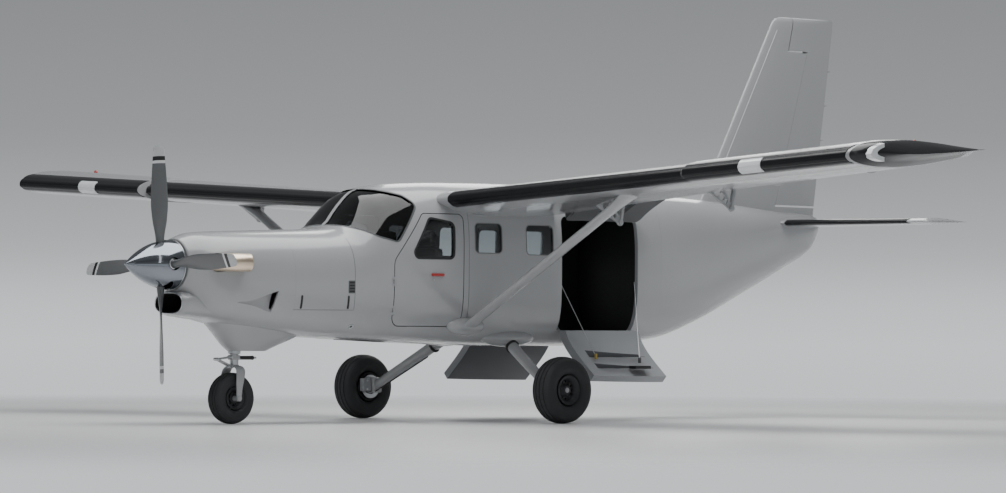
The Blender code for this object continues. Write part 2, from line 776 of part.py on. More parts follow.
def wing_solid(side):
    rings = []
    for x in (0.40, CUFF_X - 0.001, CUFF_X, TIP_X):
        rings.append(aerofoil_ring(x, *wing_row(x), side))
    front, back, front_z, back_z = wing_row(TIP_X)
    for share, x in ((0.12, 6.74), (0.34, SPAN / 2)):
        rings.append(aerofoil_ring(x, front + (back - front) * share, back, front_z + 0.03,
                                   back_z + 0.06, side, 1 - share * 2.2))
    return loft(rings)


def hinge_point(x, side):
    """The middle of a wing surface's round nose, at a distance from the middle of the aircraft."""
    _, back, front_z, back_z = wing_row(x)
    return at(side * x, WING_FRONT + (back - WING_FRONT) * HINGE_SHARE,
              front_z + (back_z - front_z) * HINGE_SHARE)


def hinged_room(ends, radii, aft, reach=0.8, spread=0.3):
    """A round nose along the line between two points, and all that lies behind it.

    Its ends are square to the line, so that what turns about the line keeps its gap there.
    """
    axis = (ends[1] - ends[0]).normalized()
    across = axis.cross(aft).normalized()
    rings = []
    for middle, radius in zip(ends, radii):
        ring = []
        for i in range(13):
            turn = math.pi * (0.5 + i / 12)
            ring.append(middle + (aft * math.cos(turn) + across * math.sin(turn)) * radius)
        ring.append(middle + aft * reach - across * spread)
        ring.append(middle + aft * reach + across * spread)
        rings.append(ring)
    return loft(rings)


def end_pins(piece, ends, gap):
    """Joins a pin to each end of a moving surface, as long as the gap that it crosses."""
    axis = (ends[1] - ends[0]).normalized()
    for end, way in ((ends[0], -axis), (ends[1], axis)):
        join(piece, rod(end - way * 0.03, end + way * (gap - SEAT_GAP), PIN_RADIUS))


def flap_ways(side):
    """The direction along the flap's hinge line, and the way up that is square to it."""
    axis = (hinge_point(FLAP_X[1], side) - hinge_point(FLAP_X[0], side)).normalized()
    return axis, Vector((-side * axis.z, 0, abs(axis.x)))


def flap_brackets(wing, flap, side):
    """The open trusses below the wing, and the flap's arms, which turn on their pins."""
    axis, up = flap_ways(side)
    for x in FLAP_BRACKET_X:
        above = hinge_point(x, side)
        place = above - up * FLAP_DROP
        top_front = above - up * 0.06 - Vector((0, 0.34, 0))
        top_back = above - up * 0.03 - Vector((0, 0.125, 0))
        truss = plate(top_front, place, axis, 1.8 * BRACKET_HALF, BRACKET_BAR)
        join(truss, plate(top_back, place, axis, 1.7 * BRACKET_HALF, BRACKET_BAR))
        for share in (0.35, 0.68):
            brace = plate(top_front.lerp(place, share), top_back.lerp(place, share - 0.28), axis,
                          1.5 * BRACKET_HALF, 0.014)
            join(truss, brace)
        join(truss, rod(place - axis * BRACKET_HALF, place + axis * BRACKET_HALF, 0.036))
        join(wing, truss)
        cut(wing, rod(place - axis * 0.05, place + axis * 0.05, PIN_HOLE))
        for way in (1, -1):
            near = place + axis * way * (BRACKET_HALF + SEAT_GAP)
            far = place + axis * way * (BRACKET_HALF + 0.012)
            middle = (near + far) / 2
            width = (far - near).length - 4 * SEAT_GAP
            join(flap, plate(middle, middle + up * 0.235 + Vector((0, 0.06, 0)), axis, width, 0.034))
            join(flap, rod(near, far, 0.030))
        join(flap, rod(place - axis * (BRACKET_HALF + 0.006), place + axis * (BRACKET_HALF + 0.006), PIN_RADIUS))


def wings():
    aft = Vector((0, 1, 0))
    for name, side in SIDES:
        wing = wing_solid(side)
        made = {}
        for label, x_range in (("flap", FLAP_X), ("aileron", AILERON_X)):
            inner = [hinge_point(x, side) for x in (x_range[0] + MOVING_GAP, x_range[1] - MOVING_GAP)]
            made[label] = (common(wing_solid(side), hinged_room(inner, [SURFACE_NOSE] * 2, aft)), inner)
            outer = [hinge_point(x, side) for x in x_range]
            cut(wing, hinged_room(outer, [SURFACE_NOSE + MOVING_GAP] * 2, aft))
        flap, flap_ends = made["flap"]
        flap_brackets(wing, flap, side)
        axis, up = flap_ways(side)
        middle = (flap_ends[0] + flap_ends[1]) / 2 - up * FLAP_DROP
        finish(flap, f"flap_{name}", WHITE, pivot_at(f"flap_{name}_hinge", middle, axis))
        aileron, ends = made["aileron"]
        end_pins(aileron, ends, (hinge_point(AILERON_X[1], side) - ends[1]).length)
        finish(aileron, f"aileron_{name}", WHITE,
               pivot_at(f"aileron_{name}_hinge", (ends[0] + ends[1]) / 2, ends[1] - ends[0]))
        cut(wing, fuselage_body(WING_FRONT - 1.2, WING_BACK + 0.6, -SEAT_GAP))
        finish(wing, f"wing_{name}", WHITE)


STRUT_FOOT = (0.60, 4.08, 0.97)
STRUT_HEAD = (3.15, 4.15, 2.42)
STRUT_CHORD = 0.18
STRUT_THICK = 0.07


def struts():
    for name, side in SIDES:
        foot, head = at(*STRUT_FOOT), at(*STRUT_HEAD)
        way = (head - foot).normalized()
        chord_way = Vector((0, 1, 0))
        thick_way = way.cross(chord_way).normalized()
        rings = []
        for share, size in ((0, 1.5), (0.08, 1.0), (0.93, 1.0), (1, 1.8)):
            middle = foot.lerp(head, share)
            ring = []
            for i in range(16):
                turn = 2 * math.pi * i / 16
                ring.append(middle + chord_way * STRUT_CHORD / 2 * size * math.cos(turn)
                            + thick_way * STRUT_THICK / 2 * math.sin(turn))
            rings.append(ring)
        strut = loft(rings)
        cut(strut, fuselage_body(3.0, 5.2, -SEAT_GAP))
        keep_out = wing_solid(1)
        keep_out.data.transform(Matrix.Translation((0, 0, -SEAT_GAP)))
        cut(strut, keep_out)
        finish(to_side(strut, side), f"wing_strut_{name}", WHITE)


# Tail

# front station, back station, height, thickness share
FIN_ROWS = ((8.14, 10.08, 2.40, 0.62), (9.36, 10.40, 4.48, 0.62), (9.44, 10.41, HEIGHT, 0.55))
FIN_BOTTOM = 2.30

# The hollow inside the fin, with its inset as a last value
FIN_CORE_ROWS = ((8.26, 9.28, 2.25, 1.20, 0.012), (9.38, 9.80, 4.12, 1.7, 0.012))

# The hollow inside the rudder in the side view, which stays clear of the hinge's pin
RUDDER_CORE = ((9.456, 2.405), (9.95, 2.405), (10.20, 4.10), (9.945, 4.10))
RUDDER_WALL = 0.012
RUDDER_HINGE = ((9.421, 2.40), (9.955, 4.15))
RUDDER_BOTTOM = 2.43
HORN_Z = 4.215
HORN_FRONT = ((9.62, 4.205), (9.75, HEIGHT + 0.1))

# The gap above, below and in front of what the leaning hinge line makes rise and dip as it turns
RUDDER_GAP = 0.02
TAIL_WALL = 0.012
TAIL_CORE_END = 9.90
TAIL_END = 10.12
TAIL_Z = 2.215
TAIL_ROOT = (9.20, 10.18)
TAIL_TIP = (9.46, 10.16)
TAIL_HALF_SPAN = 2.33
TAIL_THICKNESS = 0.62
ELEVATOR_X = (0.20, 2.02)
ELEVATOR_HINGE = 9.83
ELEVATOR_NOSE = 0.046


def upright_ring(front, back, z, thickness, inset=0.0):
    """One level ring of the fin, drawn in all round by the inset."""
    chord = back - front
    left = []
    for share, half in AEROFOIL:
        place = min(max(front + chord * share, front + inset), back - inset)
        left.append(at(max(half * chord * thickness - inset, 0.002), place, z))
    left[0].x = left[-1].x = 0.0
    return left + [Vector((-point.x, point.y, point.z)) for point in reversed(left[1:-1])]


def fin_solid():
    front, back, _, thickness = FIN_ROWS[0]
    rings = [upright_ring(front, back, FIN_BOTTOM, thickness)]
    for front, back, z, thickness in FIN_ROWS[1:]:
        rings.append(upright_ring(front, back, z, thickness))
    return loft(rings)


def rudder_axis():
    """A point on the rudder's hinge line at each end, its direction, and the way aft that is square to it."""
    low, high = [at(0, station, z) for station, z in RUDDER_HINGE]
    axis = (high - low).normalized()
    return low, high, axis, Vector((0, axis.z, -axis.y))


def fin_half_thickness(z):
    """Half the fin's thickness near the rudder's hinge line."""
    (front, back, low, share), (front_2, back_2, high, _) = FIN_ROWS[:2]
    chord = back - front + (back_2 - front_2 - back + front) * (z - low) / (high - low)
    return 0.058 * chord * share


def rudder_core():
    """The hollow inside the rudder, open at its foot."""
    rings = [upright_ring(*row, RUDDER_WALL) for row in FIN_ROWS]
    return common(loft(rings), side_prism(RUDDER_CORE, -0.4, 0.4))


def rudder_room(gap):
    """What lies behind the rudder's round nose, and the horn above and in front of it."""
    low, high, axis, aft = rudder_axis()
    ends, radii = [], []
    for z in (RUDDER_BOTTOM - 0.1, HORN_Z + 0.1):
        middle = low + axis * ((z - low.z) / axis.z)
        ends.append(middle)
        radii.append(fin_half_thickness(z) * 1.15 + gap)
    room = hinged_room(ends, radii, aft, 1.0, 0.4)
    wide_gap = RUDDER_GAP if gap else 0
    below_horn = HORN_Z - wide_gap
    (front_low, z_low), (front_high, z_high) = HORN_FRONT
    horn = ((front_low - wide_gap, below_horn), (front_high - wide_gap, z_high),
            (10.9, z_high), (10.9, below_horn))
    join(room, side_prism(horn, -0.4, 0.4))
    return cut(room, box((-0.6, 0.6), (9.0, 11.0), (1.5, RUDDER_BOTTOM - wide_gap)))


def tail():
    low, high, axis, _ = rudder_axis()
    body = fuselage_body(CABIN_END + SEAT_GAP, TAIL_END)
    cut(body, fuselage_body(CABIN_END - 0.02, TAIL_CORE_END, TAIL_WALL))
    rudder = cut(common(fin_solid(), rudder_room(0.0)), rudder_core())
    bottom = low + axis * ((RUDDER_BOTTOM - low.z) / axis.z)
    pin_end = bottom - axis * 0.02
    join(rudder, rod(pin_end, bottom + axis * 0.05, PIN_RADIUS))
    finish(body, "tail_cone", WHITE)
    fin = fin_solid()
    cut(fin, loft([upright_ring(*row) for row in FIN_CORE_ROWS]))
    cut(fin, rudder_room(MOVING_GAP))
    cut(fin, fuselage_body(7.0, TAIL_END, -SEAT_GAP))
    cut(fin, rod(pin_end - axis * SEAT_GAP, bottom + axis * 0.05, PIN_RADIUS + 0.01))
    finish(fin, "fin", WHITE)
    finish(rudder, "rudder", WHITE, pivot_at("rudder_hinge", (low + high) / 2, axis))


def tailplane_solid(side, thickness=TAIL_THICKNESS, front_in=0.0):
    rings = []
    for x, (front, back) in ((0.0, TAIL_ROOT), (TAIL_HALF_SPAN, TAIL_TIP)):
        rings.append(aerofoil_ring(x, front + front_in, back, TAIL_Z, TAIL_Z, side, thickness))
    return loft(rings)


def elevator_room(side, margin):
    """The room of one elevator, made larger all round by the margin."""
    ends = [at(side * x, ELEVATOR_HINGE, TAIL_Z) for x in (ELEVATOR_X[0] - margin, ELEVATOR_X[1] + margin)]
    return hinged_room(ends, [ELEVATOR_NOSE + margin] * 2, Vector((0, 1, 0)))


def tailplanes():
    pivot = pivot_at("elevator_hinge", at(0, ELEVATOR_HINGE, TAIL_Z), (1, 0, 0))
    for name, side in SIDES:
        plane = tailplane_solid(side)
        core = tailplane_solid(side, TAIL_THICKNESS * 0.62, 0.05)
        common(core, box((-side * 0.1, side * 2.15), (9.2, 9.72), (2.0, 2.4)))
        cut(plane, core)
        cut(plane, fuselage_body(7.0, TAIL_END, -SEAT_GAP))
        cut(plane, elevator_room(side, MOVING_GAP))
        finish(plane, f"tailplane_{name}", WHITE)
        elevator = common(tailplane_solid(side), elevator_room(side, 0.0))
        end_pins(elevator, [at(side * x, ELEVATOR_HINGE, TAIL_Z) for x in ELEVATOR_X], MOVING_GAP)
        finish(elevator, f"elevator_{name}", WHITE, pivot)


# Landing gear

MAIN_X = 1.60
MAIN_STATION = 4.58
MAIN_RADIUS = 0.352
MAIN_HALF_WIDTH = 0.135
WHEEL_STEPS = 24
AXLE_RADIUS = 0.028
AXLE_BORE = 0.0286
BULGE_MIDDLE = (0.52, 4.78, 0.90)
BULGE_REACH = (0.14, 0.37, 0.10)
LEG_HEAD = (0.46, 4.80, 0.90)
LEG_FOOT = (1.39, 4.60, 0.37)
LEG_RADIUS = (0.064, 0.050)
NOSE_STATION = 1.40
STRUT_STATION = 1.44
NOSE_RADIUS = 0.265
NOSE_HALF_WIDTH = 0.095
NOSE_STRUT_RADIUS = 0.045
FAIRING_BOTTOM = 0.752

# front station, back station, height, half width
NOSE_FAIRING_ROWS = ((1.375, 1.83, FAIRING_BOTTOM, 0.13), (1.30, 1.98, 0.81, 0.17), (1.22, 2.22, 0.90, 0.235),
                     (1.07, 2.42, 1.05, 0.28))

# Fork, from the axle up over the tyre: side distance, station, height, width
FORK_ROWS = ((0.130, 1.40, 0.235, 0.060), (0.131, 1.405, 0.36, 0.078), (0.129, 1.42, 0.47, 0.105),
             (0.112, 1.435, 0.552, 0.115), (0.070, 1.44, 0.588, 0.105), (0.0, 1.44, 0.598, 0.10))
FORK_THICK = 0.022
COLLAR_RADIUS = 0.064


def wheel(centre, radius, half_width, rim, name, pivot):
    """A tyre and its rim, which share one spin axis."""
    crown = half_width * 0.55
    tyre = [(rim, -half_width * 0.8), (rim + 0.03, -half_width * 0.97), (radius * 0.78, -half_width),
            (radius * 0.93, -half_width * 0.86), (radius * 0.985, -crown), (radius, -crown * 0.4),
            (radius, crown * 0.4), (radius * 0.985, crown), (radius * 0.93, half_width * 0.86),
            (radius * 0.78, half_width), (rim + 0.03, half_width * 0.97), (rim, half_width * 0.8)]
    finish(turned(tyre, centre, (1, 0, 0), steps=WHEEL_STEPS), f"{name}_tyre", RUBBER, pivot)
    edge = rim - SEAT_GAP
    hub = [(AXLE_BORE, -half_width * 0.62), (0.05, -half_width * 0.62), (rim * 0.6, -half_width * 0.45),
           (rim * 0.8, -half_width * 0.72), (edge, -half_width * 0.72), (edge, half_width * 0.72),
           (rim * 0.8, half_width * 0.72), (rim * 0.6, half_width * 0.45), (0.05, half_width * 0.62),
           (AXLE_BORE, half_width * 0.62)]
    finish(turned(hub, centre, (1, 0, 0), steps=WHEEL_STEPS), f"{name}_rim", DARK_GREY, pivot)


def gear_bulge(side, margin=0.0):
    """The rounded fairing on the belly's edge that the gear leg comes out of."""
    middle = at(side * BULGE_MIDDLE[0], BULGE_MIDDLE[1], BULGE_MIDDLE[2])
    reach = [value + margin for value in BULGE_REACH]
    rows = 8
    count = 12
    rings = []
    for i in range(1, rows):
        turn = math.pi * i / rows
        size, along = math.sin(turn), -math.cos(turn) * reach[1]
        rings.append([middle + Vector((math.cos(2 * math.pi * k / count) * reach[0] * size, along,
                                       math.sin(2 * math.pi * k / count) * reach[2] * size))
                      for k in range(count)])
    return loft(rings)


def main_gear():
    for name, side in SIDES:
        centre = at(side * MAIN_X, MAIN_STATION, MAIN_RADIUS)
        pivot = pivot_at(f"main_wheel_{name}_axle", centre, (1, 0, 0))
        wheel(centre, MAIN_RADIUS, MAIN_HALF_WIDTH, 0.15, f"main_wheel_{name}", pivot)
        leg = rod(at(*LEG_HEAD), at(*LEG_FOOT), *LEG_RADIUS)
        join(leg, box((1.36, 1.435), (4.525, 4.655), (0.285, 0.455)))
        join(leg, box((1.385, 1.452), (4.405, 4.54), (0.30, 0.445)))
        join(leg, rod(at(1.40, MAIN_STATION, MAIN_RADIUS), at(MAIN_X + 0.085, MAIN_STATION, MAIN_RADIUS),
                      AXLE_RADIUS, steps=WHEEL_STEPS))
        cut(leg, fuselage_body(4.0, 5.6, -SEAT_GAP))
        cut(leg, gear_bulge(1, SEAT_GAP * 1.5))
        finish(to_side(leg, side), f"main_gear_leg_{name}", WHITE)


def oval_plan(front, back, z, half_width):
    """A level oval ring, blunter than an ellipse."""
    points = []
    for i in range(24):
        turn = 2 * math.pi * (i + 0.5) / 24
        across, along = math.sin(turn), math.cos(turn)
        points.append(at(half_width * math.copysign(abs(across) ** 0.85, across),
                         (front + back) / 2 + (back - front) / 2 * math.copysign(abs(along) ** 0.85, along), z))
    return points


def nose_gear():
    fairing = loft([oval_plan(*row) for row in NOSE_FAIRING_ROWS])
    cut(fairing, fuselage_body(COWL_FRONT, 2.9, -SEAT_GAP))
    finish(fairing, "nose_gear_fairing", WHITE)
    strut = rod(at(0, STRUT_STATION, 0.612), at(0, STRUT_STATION, FAIRING_BOTTOM - SEAT_GAP), NOSE_STRUT_RADIUS)
    join(strut, rod(at(0, STRUT_STATION, 0.722), at(0, STRUT_STATION, FAIRING_BOTTOM - SEAT_GAP), 0.066))
    finish(strut, "nose_gear_strut", WHITE)
    steer = pivot_at("nose_steering", at(0, STRUT_STATION, 0.70), (0, 0, 1))
    fork_and_damper(steer)
    centre = at(0, NOSE_STATION, NOSE_RADIUS)
    wheel(centre, NOSE_RADIUS, NOSE_HALF_WIDTH, 0.11, "nose_wheel", pivot_at("nose_wheel_axle", centre, (1, 0, 0)))


def fork_and_damper(pivot):
    """The fork, its steering collar round the strut, the links between them, and the damper."""
    rings = []
    for side in (1, -1):
        rows = FORK_ROWS if side > 0 else list(reversed(FORK_ROWS))[1:]
        for i, (x, station, z, width) in enumerate(rows):
            before = rows[max(i - 1, 0)]
            after = rows[min(i + 1, len(rows) - 1)]
            way = Vector((side * (after[0] - before[0]), 0, after[2] - before[2]))
            if x == 0:
                way = Vector((-1, 0, 0))
            normal = Vector((0, 1, 0)).cross(way.normalized()) * FORK_THICK / 2
            middle = at(side * x, station, z)
            reach = Vector((0, width / 2, 0))
            rings.append([middle + normal + reach, middle + normal - reach,
                          middle - normal - reach, middle - normal + reach])
    fork = loft(rings)
    sides = 16
    bore = NOSE_STRUT_RADIUS / math.cos(math.pi / sides) + 2 * SEAT_GAP
    collar = [(bore, 0.662), (COLLAR_RADIUS, 0.662), (COLLAR_RADIUS, 0.712), (bore, 0.712)]
    join(fork, turned(collar, at(0, STRUT_STATION, 0), (0, 0, 1), steps=sides))
    join(fork, rod(at(0, STRUT_STATION, 0.60), at(0, STRUT_STATION, 0.6115), 0.05))
    apex = (1.205, 0.668)
    for station, z, width in ((1.385, 0.688, 0.070), (1.395, 0.592, 0.078)):
        join(fork, plate(at(0, station, z), at(0, *apex), (1, 0, 0), width, 0.02, width / 2))
    join(fork, rod(at(-0.028, *apex), at(0.028, *apex), 0.018))
    join(fork, rod(at(-0.15, NOSE_STATION, NOSE_RADIUS), at(0.15, NOSE_STATION, NOSE_RADIUS), AXLE_RADIUS,
                   steps=WHEEL_STEPS))
    finish(fork, "nose_fork", WHITE, pivot)
    damper = rod(at(0, STRUT_STATION + COLLAR_RADIUS + SEAT_GAP, 0.682), at(0, 1.69, 0.682), 0.022)
    join(damper, rod(at(0, 1.66, 0.682), at(0, 1.73, 0.682), 0.009))
    finish(damper, "steering_damper", BLACK, pivot)


# Inside

CARGO_FLOOR_FRONT = 4.02


def interior():
    """The floor, which is higher in the cargo room, the crew's seats and the instrument panel."""
    floor = cabin_room(WALL + SEAT_GAP)
    bottom = COCKPIT_FLOOR_TOP - 0.03
    levels = box((-0.9, 0.9), (FIREWALL + 0.3, CABIN_END - 0.1), (bottom, COCKPIT_FLOOR_TOP))
    join(levels, box((-0.9, 0.9), (CARGO_FLOOR_FRONT, CABIN_END - 0.1), (bottom, FLOOR_TOP)))
    common(floor, levels)
    finish(floor, "cabin_floor", DARK_GREY)
    stand = COCKPIT_FLOOR_TOP + SEAT_GAP
    for name, side in SIDES:
        seat = box((side * 0.14, side * 0.44), (3.42, 3.76), (stand, 1.25))
        join(seat, box((side * 0.10, side * 0.54), (3.35, 3.80), (1.22, 1.38)))
        join(seat, box((side * 0.11, side * 0.53), (3.74, 3.88), (1.30, 1.98)))
        finish(seat, f"crew_seat_{name}", DARK_GREY)
    panel = box((-0.52, 0.52), (2.72, 2.82), (1.45, 1.88))
    join(panel, box((-0.45, 0.45), (2.36, 2.74), (1.46, 1.84)))
    join(panel, box((-0.10, 0.10), (2.74, 2.80), (stand, 1.50)))
    finish(panel, "instrument_panel", DARK_GREY)


def main():
    for old in list(bpy.data.objects):
        bpy.data.objects.remove(old)
    cowling()
    engine()
    exhausts()
    shell = cabin_shell()
    crew_doors(shell)
    rear_upper_doors(shell)
    airstairs(shell)
    finish(shell, "cabin_shell", WHITE)
    windows()
    propeller = pivot_at("propeller_axis", at(0, PROP_STATION, PROP_Z), (0, 1, 0))
    propeller_centre(propeller)
    blades(propeller)
    wings()
    struts()
    tail()
    tailplanes()
    main_gear()
    nose_gear()
    interior()


main()
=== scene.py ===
"""The looks of a high-wing turboprop bush plane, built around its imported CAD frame.

Metres, +Z up, nose along -Y, port side along +X. A station is a distance aft of the spinner's tip.
"""
import json
import math

import bpy
from mathutils import Matrix, Vector


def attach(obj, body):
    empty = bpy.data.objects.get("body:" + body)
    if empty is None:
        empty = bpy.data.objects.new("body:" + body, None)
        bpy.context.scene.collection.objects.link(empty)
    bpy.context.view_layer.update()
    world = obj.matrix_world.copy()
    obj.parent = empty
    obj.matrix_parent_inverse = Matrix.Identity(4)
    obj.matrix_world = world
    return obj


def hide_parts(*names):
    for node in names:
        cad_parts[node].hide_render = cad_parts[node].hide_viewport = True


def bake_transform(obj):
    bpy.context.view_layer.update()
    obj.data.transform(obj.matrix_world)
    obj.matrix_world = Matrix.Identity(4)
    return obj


bl_info = {
    "name": "Bush plane",
    "version": (1, 0, 0),
    "blender": (4, 5, 0),
    "location": "3D View > Sidebar > Bush plane",
    "description": "Builds the bush plane's finished surfaces around its CAD frame",
    "category": "Object",
}

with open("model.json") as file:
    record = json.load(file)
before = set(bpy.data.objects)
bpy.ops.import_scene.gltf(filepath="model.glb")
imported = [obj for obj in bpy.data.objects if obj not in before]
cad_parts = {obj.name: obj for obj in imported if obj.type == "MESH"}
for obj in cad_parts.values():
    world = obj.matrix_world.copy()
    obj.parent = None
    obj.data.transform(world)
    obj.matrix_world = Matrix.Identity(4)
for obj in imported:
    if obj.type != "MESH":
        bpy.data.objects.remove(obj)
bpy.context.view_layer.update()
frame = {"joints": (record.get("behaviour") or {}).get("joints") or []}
JOINTS = {joint["name"]: joint for joint in frame["joints"]}

# Sides of the aircraft: name, and the sign of X
SIDES = (("left", 1.0), ("right", -1.0))
LENGTH = 10.41
AFT = Vector((0, 1, 0))
UP = Vector((0, 0, 1))


# Places, curves and outlines

def at(x, station, z):
    """A point from its side distance, its station and its height."""
    return Vector((x, station - LENGTH / 2, z))


def slopes(places, values):
    """Slopes for a smooth curve through points that never swings past them."""
    steps = [b - a for a, b in zip(places, places[1:])]
    rises = [(b - a) / step for a, b, step in zip(values, values[1:], steps)]
    found = [rises[0]]
    for i in range(1, len(places) - 1):
        low, high = rises[i - 1], rises[i]
        if low * high <= 0:
            found.append(0.0)
            continue
        first, second = 2 * steps[i] + steps[i - 1], steps[i] + 2 * steps[i - 1]
        found.append((first + second) / (first / low + second / high))
    found.append(rises[-1])
    return found


def smooth_table(rows):
    """A function that gives the table's values at any place, smooth between its rows."""
    places = [row[0] for row in rows]
    columns = [[row[i] for row in rows] for i in range(1, len(rows[0]))]
    tilts = [slopes(places, column) for column in columns]

    def values(place):
        place = min(max(place, places[0]), places[-1])
        i = max(k for k in range(len(places) - 1) if places[k] <= place)
        step = places[i + 1] - places[i]
        t = (place - places[i]) / step
        found = []
        for column, tilt in zip(columns, tilts):
            found.append((1 + 2 * t) * (1 - t) ** 2 * column[i] + t * (1 - t) ** 2 * step * tilt[i]
                         + t * t * (3 - 2 * t) * column[i + 1] + t * t * (t - 1) * step * tilt[i + 1])
        return found

    return values


def spread(start, end, count):
    """Evenly spaced values from start to end, both included."""
    return [start + (end - start) * i / (count - 1) for i in range(count)]


def rounded(corners, steps=8):
    """An outline of (station, height, radius) corners with their rounds drawn as arcs."""
    points = []
    for i, (station, z, radius) in enumerate(corners):
        here = Vector((station, z))
        if radius == 0:
            points.append(tuple(here))
            continue
        before = (Vector(corners[i - 1][:2]) - here).normalized()
        after = (Vector(corners[(i + 1) % len(corners)][:2]) - here).normalized()
        half = before.angle(after) / 2
        reach = radius / math.tan(half)
        middle = here + (before + after).normalized() * (radius / math.sin(half))
        start, end = here + before * reach - middle, here + after * reach - middle
        for k in range(steps + 1):
            points.append(tuple(middle + start.slerp(end, k / steps).normalized() * radius))
    return points


def grown(outline, amount):
    """The same outline moved outwards, or inwards where the amount is negative."""
    count = len(outline)
    area = sum(outline[i][0] * outline[(i + 1) % count][1] - outline[(i + 1) % count][0] * outline[i][1]
               for i in range(count))
    sign = 1 if area > 0 else -1
    moved = []
    for i, point in enumerate(outline):
        here = Vector(point)
        before = (here - Vector(outline[i - 1])).normalized()
        after = (Vector(outline[(i + 1) % count]) - here).normalized()
        normal = Vector((before.y + after.y, -before.x - after.x)).normalized() * sign
        lean = max(normal.dot(Vector((before.y, -before.x)) * sign), 0.4)
        moved.append(tuple(here + normal * amount / lean))
    return moved


# Making meshes

def deselect():
    if bpy.context.object and bpy.context.object.mode != "OBJECT":
        bpy.ops.object.mode_set(mode="OBJECT")
    bpy.ops.object.select_all(action="DESELECT")


def activate(*pieces):
    """Selects only these pieces, the first of them active."""
    deselect()
    for piece in pieces:
        piece.select_set(True)
    bpy.context.view_layer.objects.active = pieces[0]
    return pieces[0]


def settle(piece):
    """Moves the piece's place, turn and size into its mesh."""
    activate(piece)
    bpy.ops.object.transform_apply(location=True, rotation=True, scale=True)
    return piece


def modified(piece, kind, **settings):
    """Adds a modifier with its settings and applies it."""
    modifier = piece.modifiers.new(kind.lower(), kind)
    for name, value in settings.items():
        setattr(modifier, name, value)
    activate(piece)
    bpy.ops.object.modifier_apply(modifier=modifier.name)
    return piece


def edit_all(piece, *steps):
    """Runs edit-mode operators on the whole of a piece's mesh."""
    activate(piece)
    bpy.ops.object.mode_set(mode="EDIT")
    bpy.ops.mesh.select_all(action="SELECT")
    for step in steps:
        step()
    bpy.ops.object.mode_set(mode="OBJECT")
    return piece


def closed_outwards(piece):
    """Merges doubles and turns the faces outwards."""
    return edit_all(piece, lambda: bpy.ops.mesh.remove_doubles(threshold=0.00002),
                    lambda: bpy.ops.mesh.normals_make_consistent(inside=False))


def from_points(points, edges=(), faces=()):
    mesh = bpy.data.meshes.new("mesh")
    mesh.from_pydata([tuple(point) for point in points], list(edges), list(faces))
    piece = bpy.data.objects.new("piece", mesh)
    bpy.context.scene.collection.objects.link(piece)
    return piece


def loft(rings, capped=True):
    """A skin through rings of points. Shapes with changing sections have no primitive to start from."""
    count = len(rings[0])
    points = [point for ring in rings for point in ring]
    faces = []
    for row in range(len(rings) - 1):
        for i in range(count):
            j = (i + 1) % count
            faces.append((row * count + i, row * count + j, (row + 1) * count + j, (row + 1) * count + i))
    if capped:
        faces.append(tuple(range(count))[::-1])
        faces.append(tuple(range(len(points) - count, len(points))))
    return closed_outwards(from_points(points, (), faces))


def side_prism(outline, x0, x1):
    """An outline of (station, height) points, pushed across from x0 to x1."""
    return loft([[at(x, station, z) for station, z in outline] for x in (x0, x1)])


def block(low, high, bevel=0.0, segments=3):
    """A box between two (x, station, z) corners, with its edges rounded."""
    low, high = at(*low), at(*high)
    deselect()
    bpy.ops.mesh.primitive_cube_add(size=1, location=(low + high) / 2)
    piece = bpy.context.object
    piece.scale = [abs(value) for value in high - low]
    settle(piece)
    if bevel:
        modified(piece, "BEVEL", width=bevel, segments=segments, limit_method="ANGLE")
    return piece


def slab(start, end, along, width, thickness, bevel=0.0):
    """A flat bar from start to end, wide along one direction and thin across it."""
    way = end - start
    along = (along - way.normalized() * along.dot(way.normalized())).normalized()
    deselect()
    bpy.ops.mesh.primitive_cube_add(size=1)
    piece = bpy.context.object
    turn = Matrix((along, way.normalized().cross(along), way.normalized())).transposed().to_4x4()
    size = Matrix.Diagonal((width, thickness, way.length, 1))
    piece.matrix_world = Matrix.Translation((start + end) / 2) @ turn @ size
    settle(piece)
    if bevel:
        modified(piece, "BEVEL", width=bevel, segments=2, limit_method="ANGLE")
    return piece


def bar(start, end, radius, end_radius=None, sides=32, bevel=0.0):
    """A round bar between two points, tapered where its end radius is given."""
    way = end - start
    deselect()
    bpy.ops.mesh.primitive_cone_add(
        vertices=sides, radius1=radius, radius2=radius if end_radius is None else end_radius,
        depth=way.length,
        location=(start + end) / 2, rotation=way.to_track_quat("Z", "Y").to_euler())
    piece = settle(bpy.context.object)
    if bevel:
        modified(piece, "BEVEL", width=bevel, segments=2, limit_method="ANGLE", angle_limit=math.radians(50))
    return piece


def ball(centre, size, segments=48):
    """A rounded lump with its own size along each axis."""
    deselect()
    bpy.ops.mesh.primitive_uv_sphere_add(segments=segments, ring_count=segments // 2, location=centre)
    piece = bpy.context.object
    piece.scale = size
    return settle(piece)


def turned(profile, centre, axis, steps=64, closed=False):
    """A profile of (radius, distance along the axis) points, spun about the axis."""
    axis = Vector(axis).normalized()
    across = axis.orthogonal().normalized()
    points = [centre + axis * along + across * radius for radius, along in profile]
    edges = [(i, i + 1) for i in range(len(points) - 1)]
    if closed:
        edges.append((len(points) - 1, 0))
    piece = from_points(points, edges)
    edit_all(piece, lambda: bpy.ops.mesh.spin(steps=steps, angle=math.tau, center=centre, axis=axis))
    return closed_outwards(piece)


def tube(points, radius, sides=12, closed=False):
    """A round tube that follows a path of points."""
    rings = []
    count = len(points)
    side = None
    for i, point in enumerate(points):
        before = points[i - 1] if closed or i else point
        after = points[(i + 1) % count] if closed or i < count - 1 else point
        way = (after - before).normalized()
        side = (side - way * side.dot(way)).normalized() if side else way.orthogonal().normalized()
        other = way.cross(side)
        turns = [math.tau * k / sides for k in range(sides)]
        rings.append([point + (side * math.cos(turn) + other * math.sin(turn)) * radius for turn in turns])
    if closed:
        rings.append(rings[0])
    return loft(rings, capped=not closed)


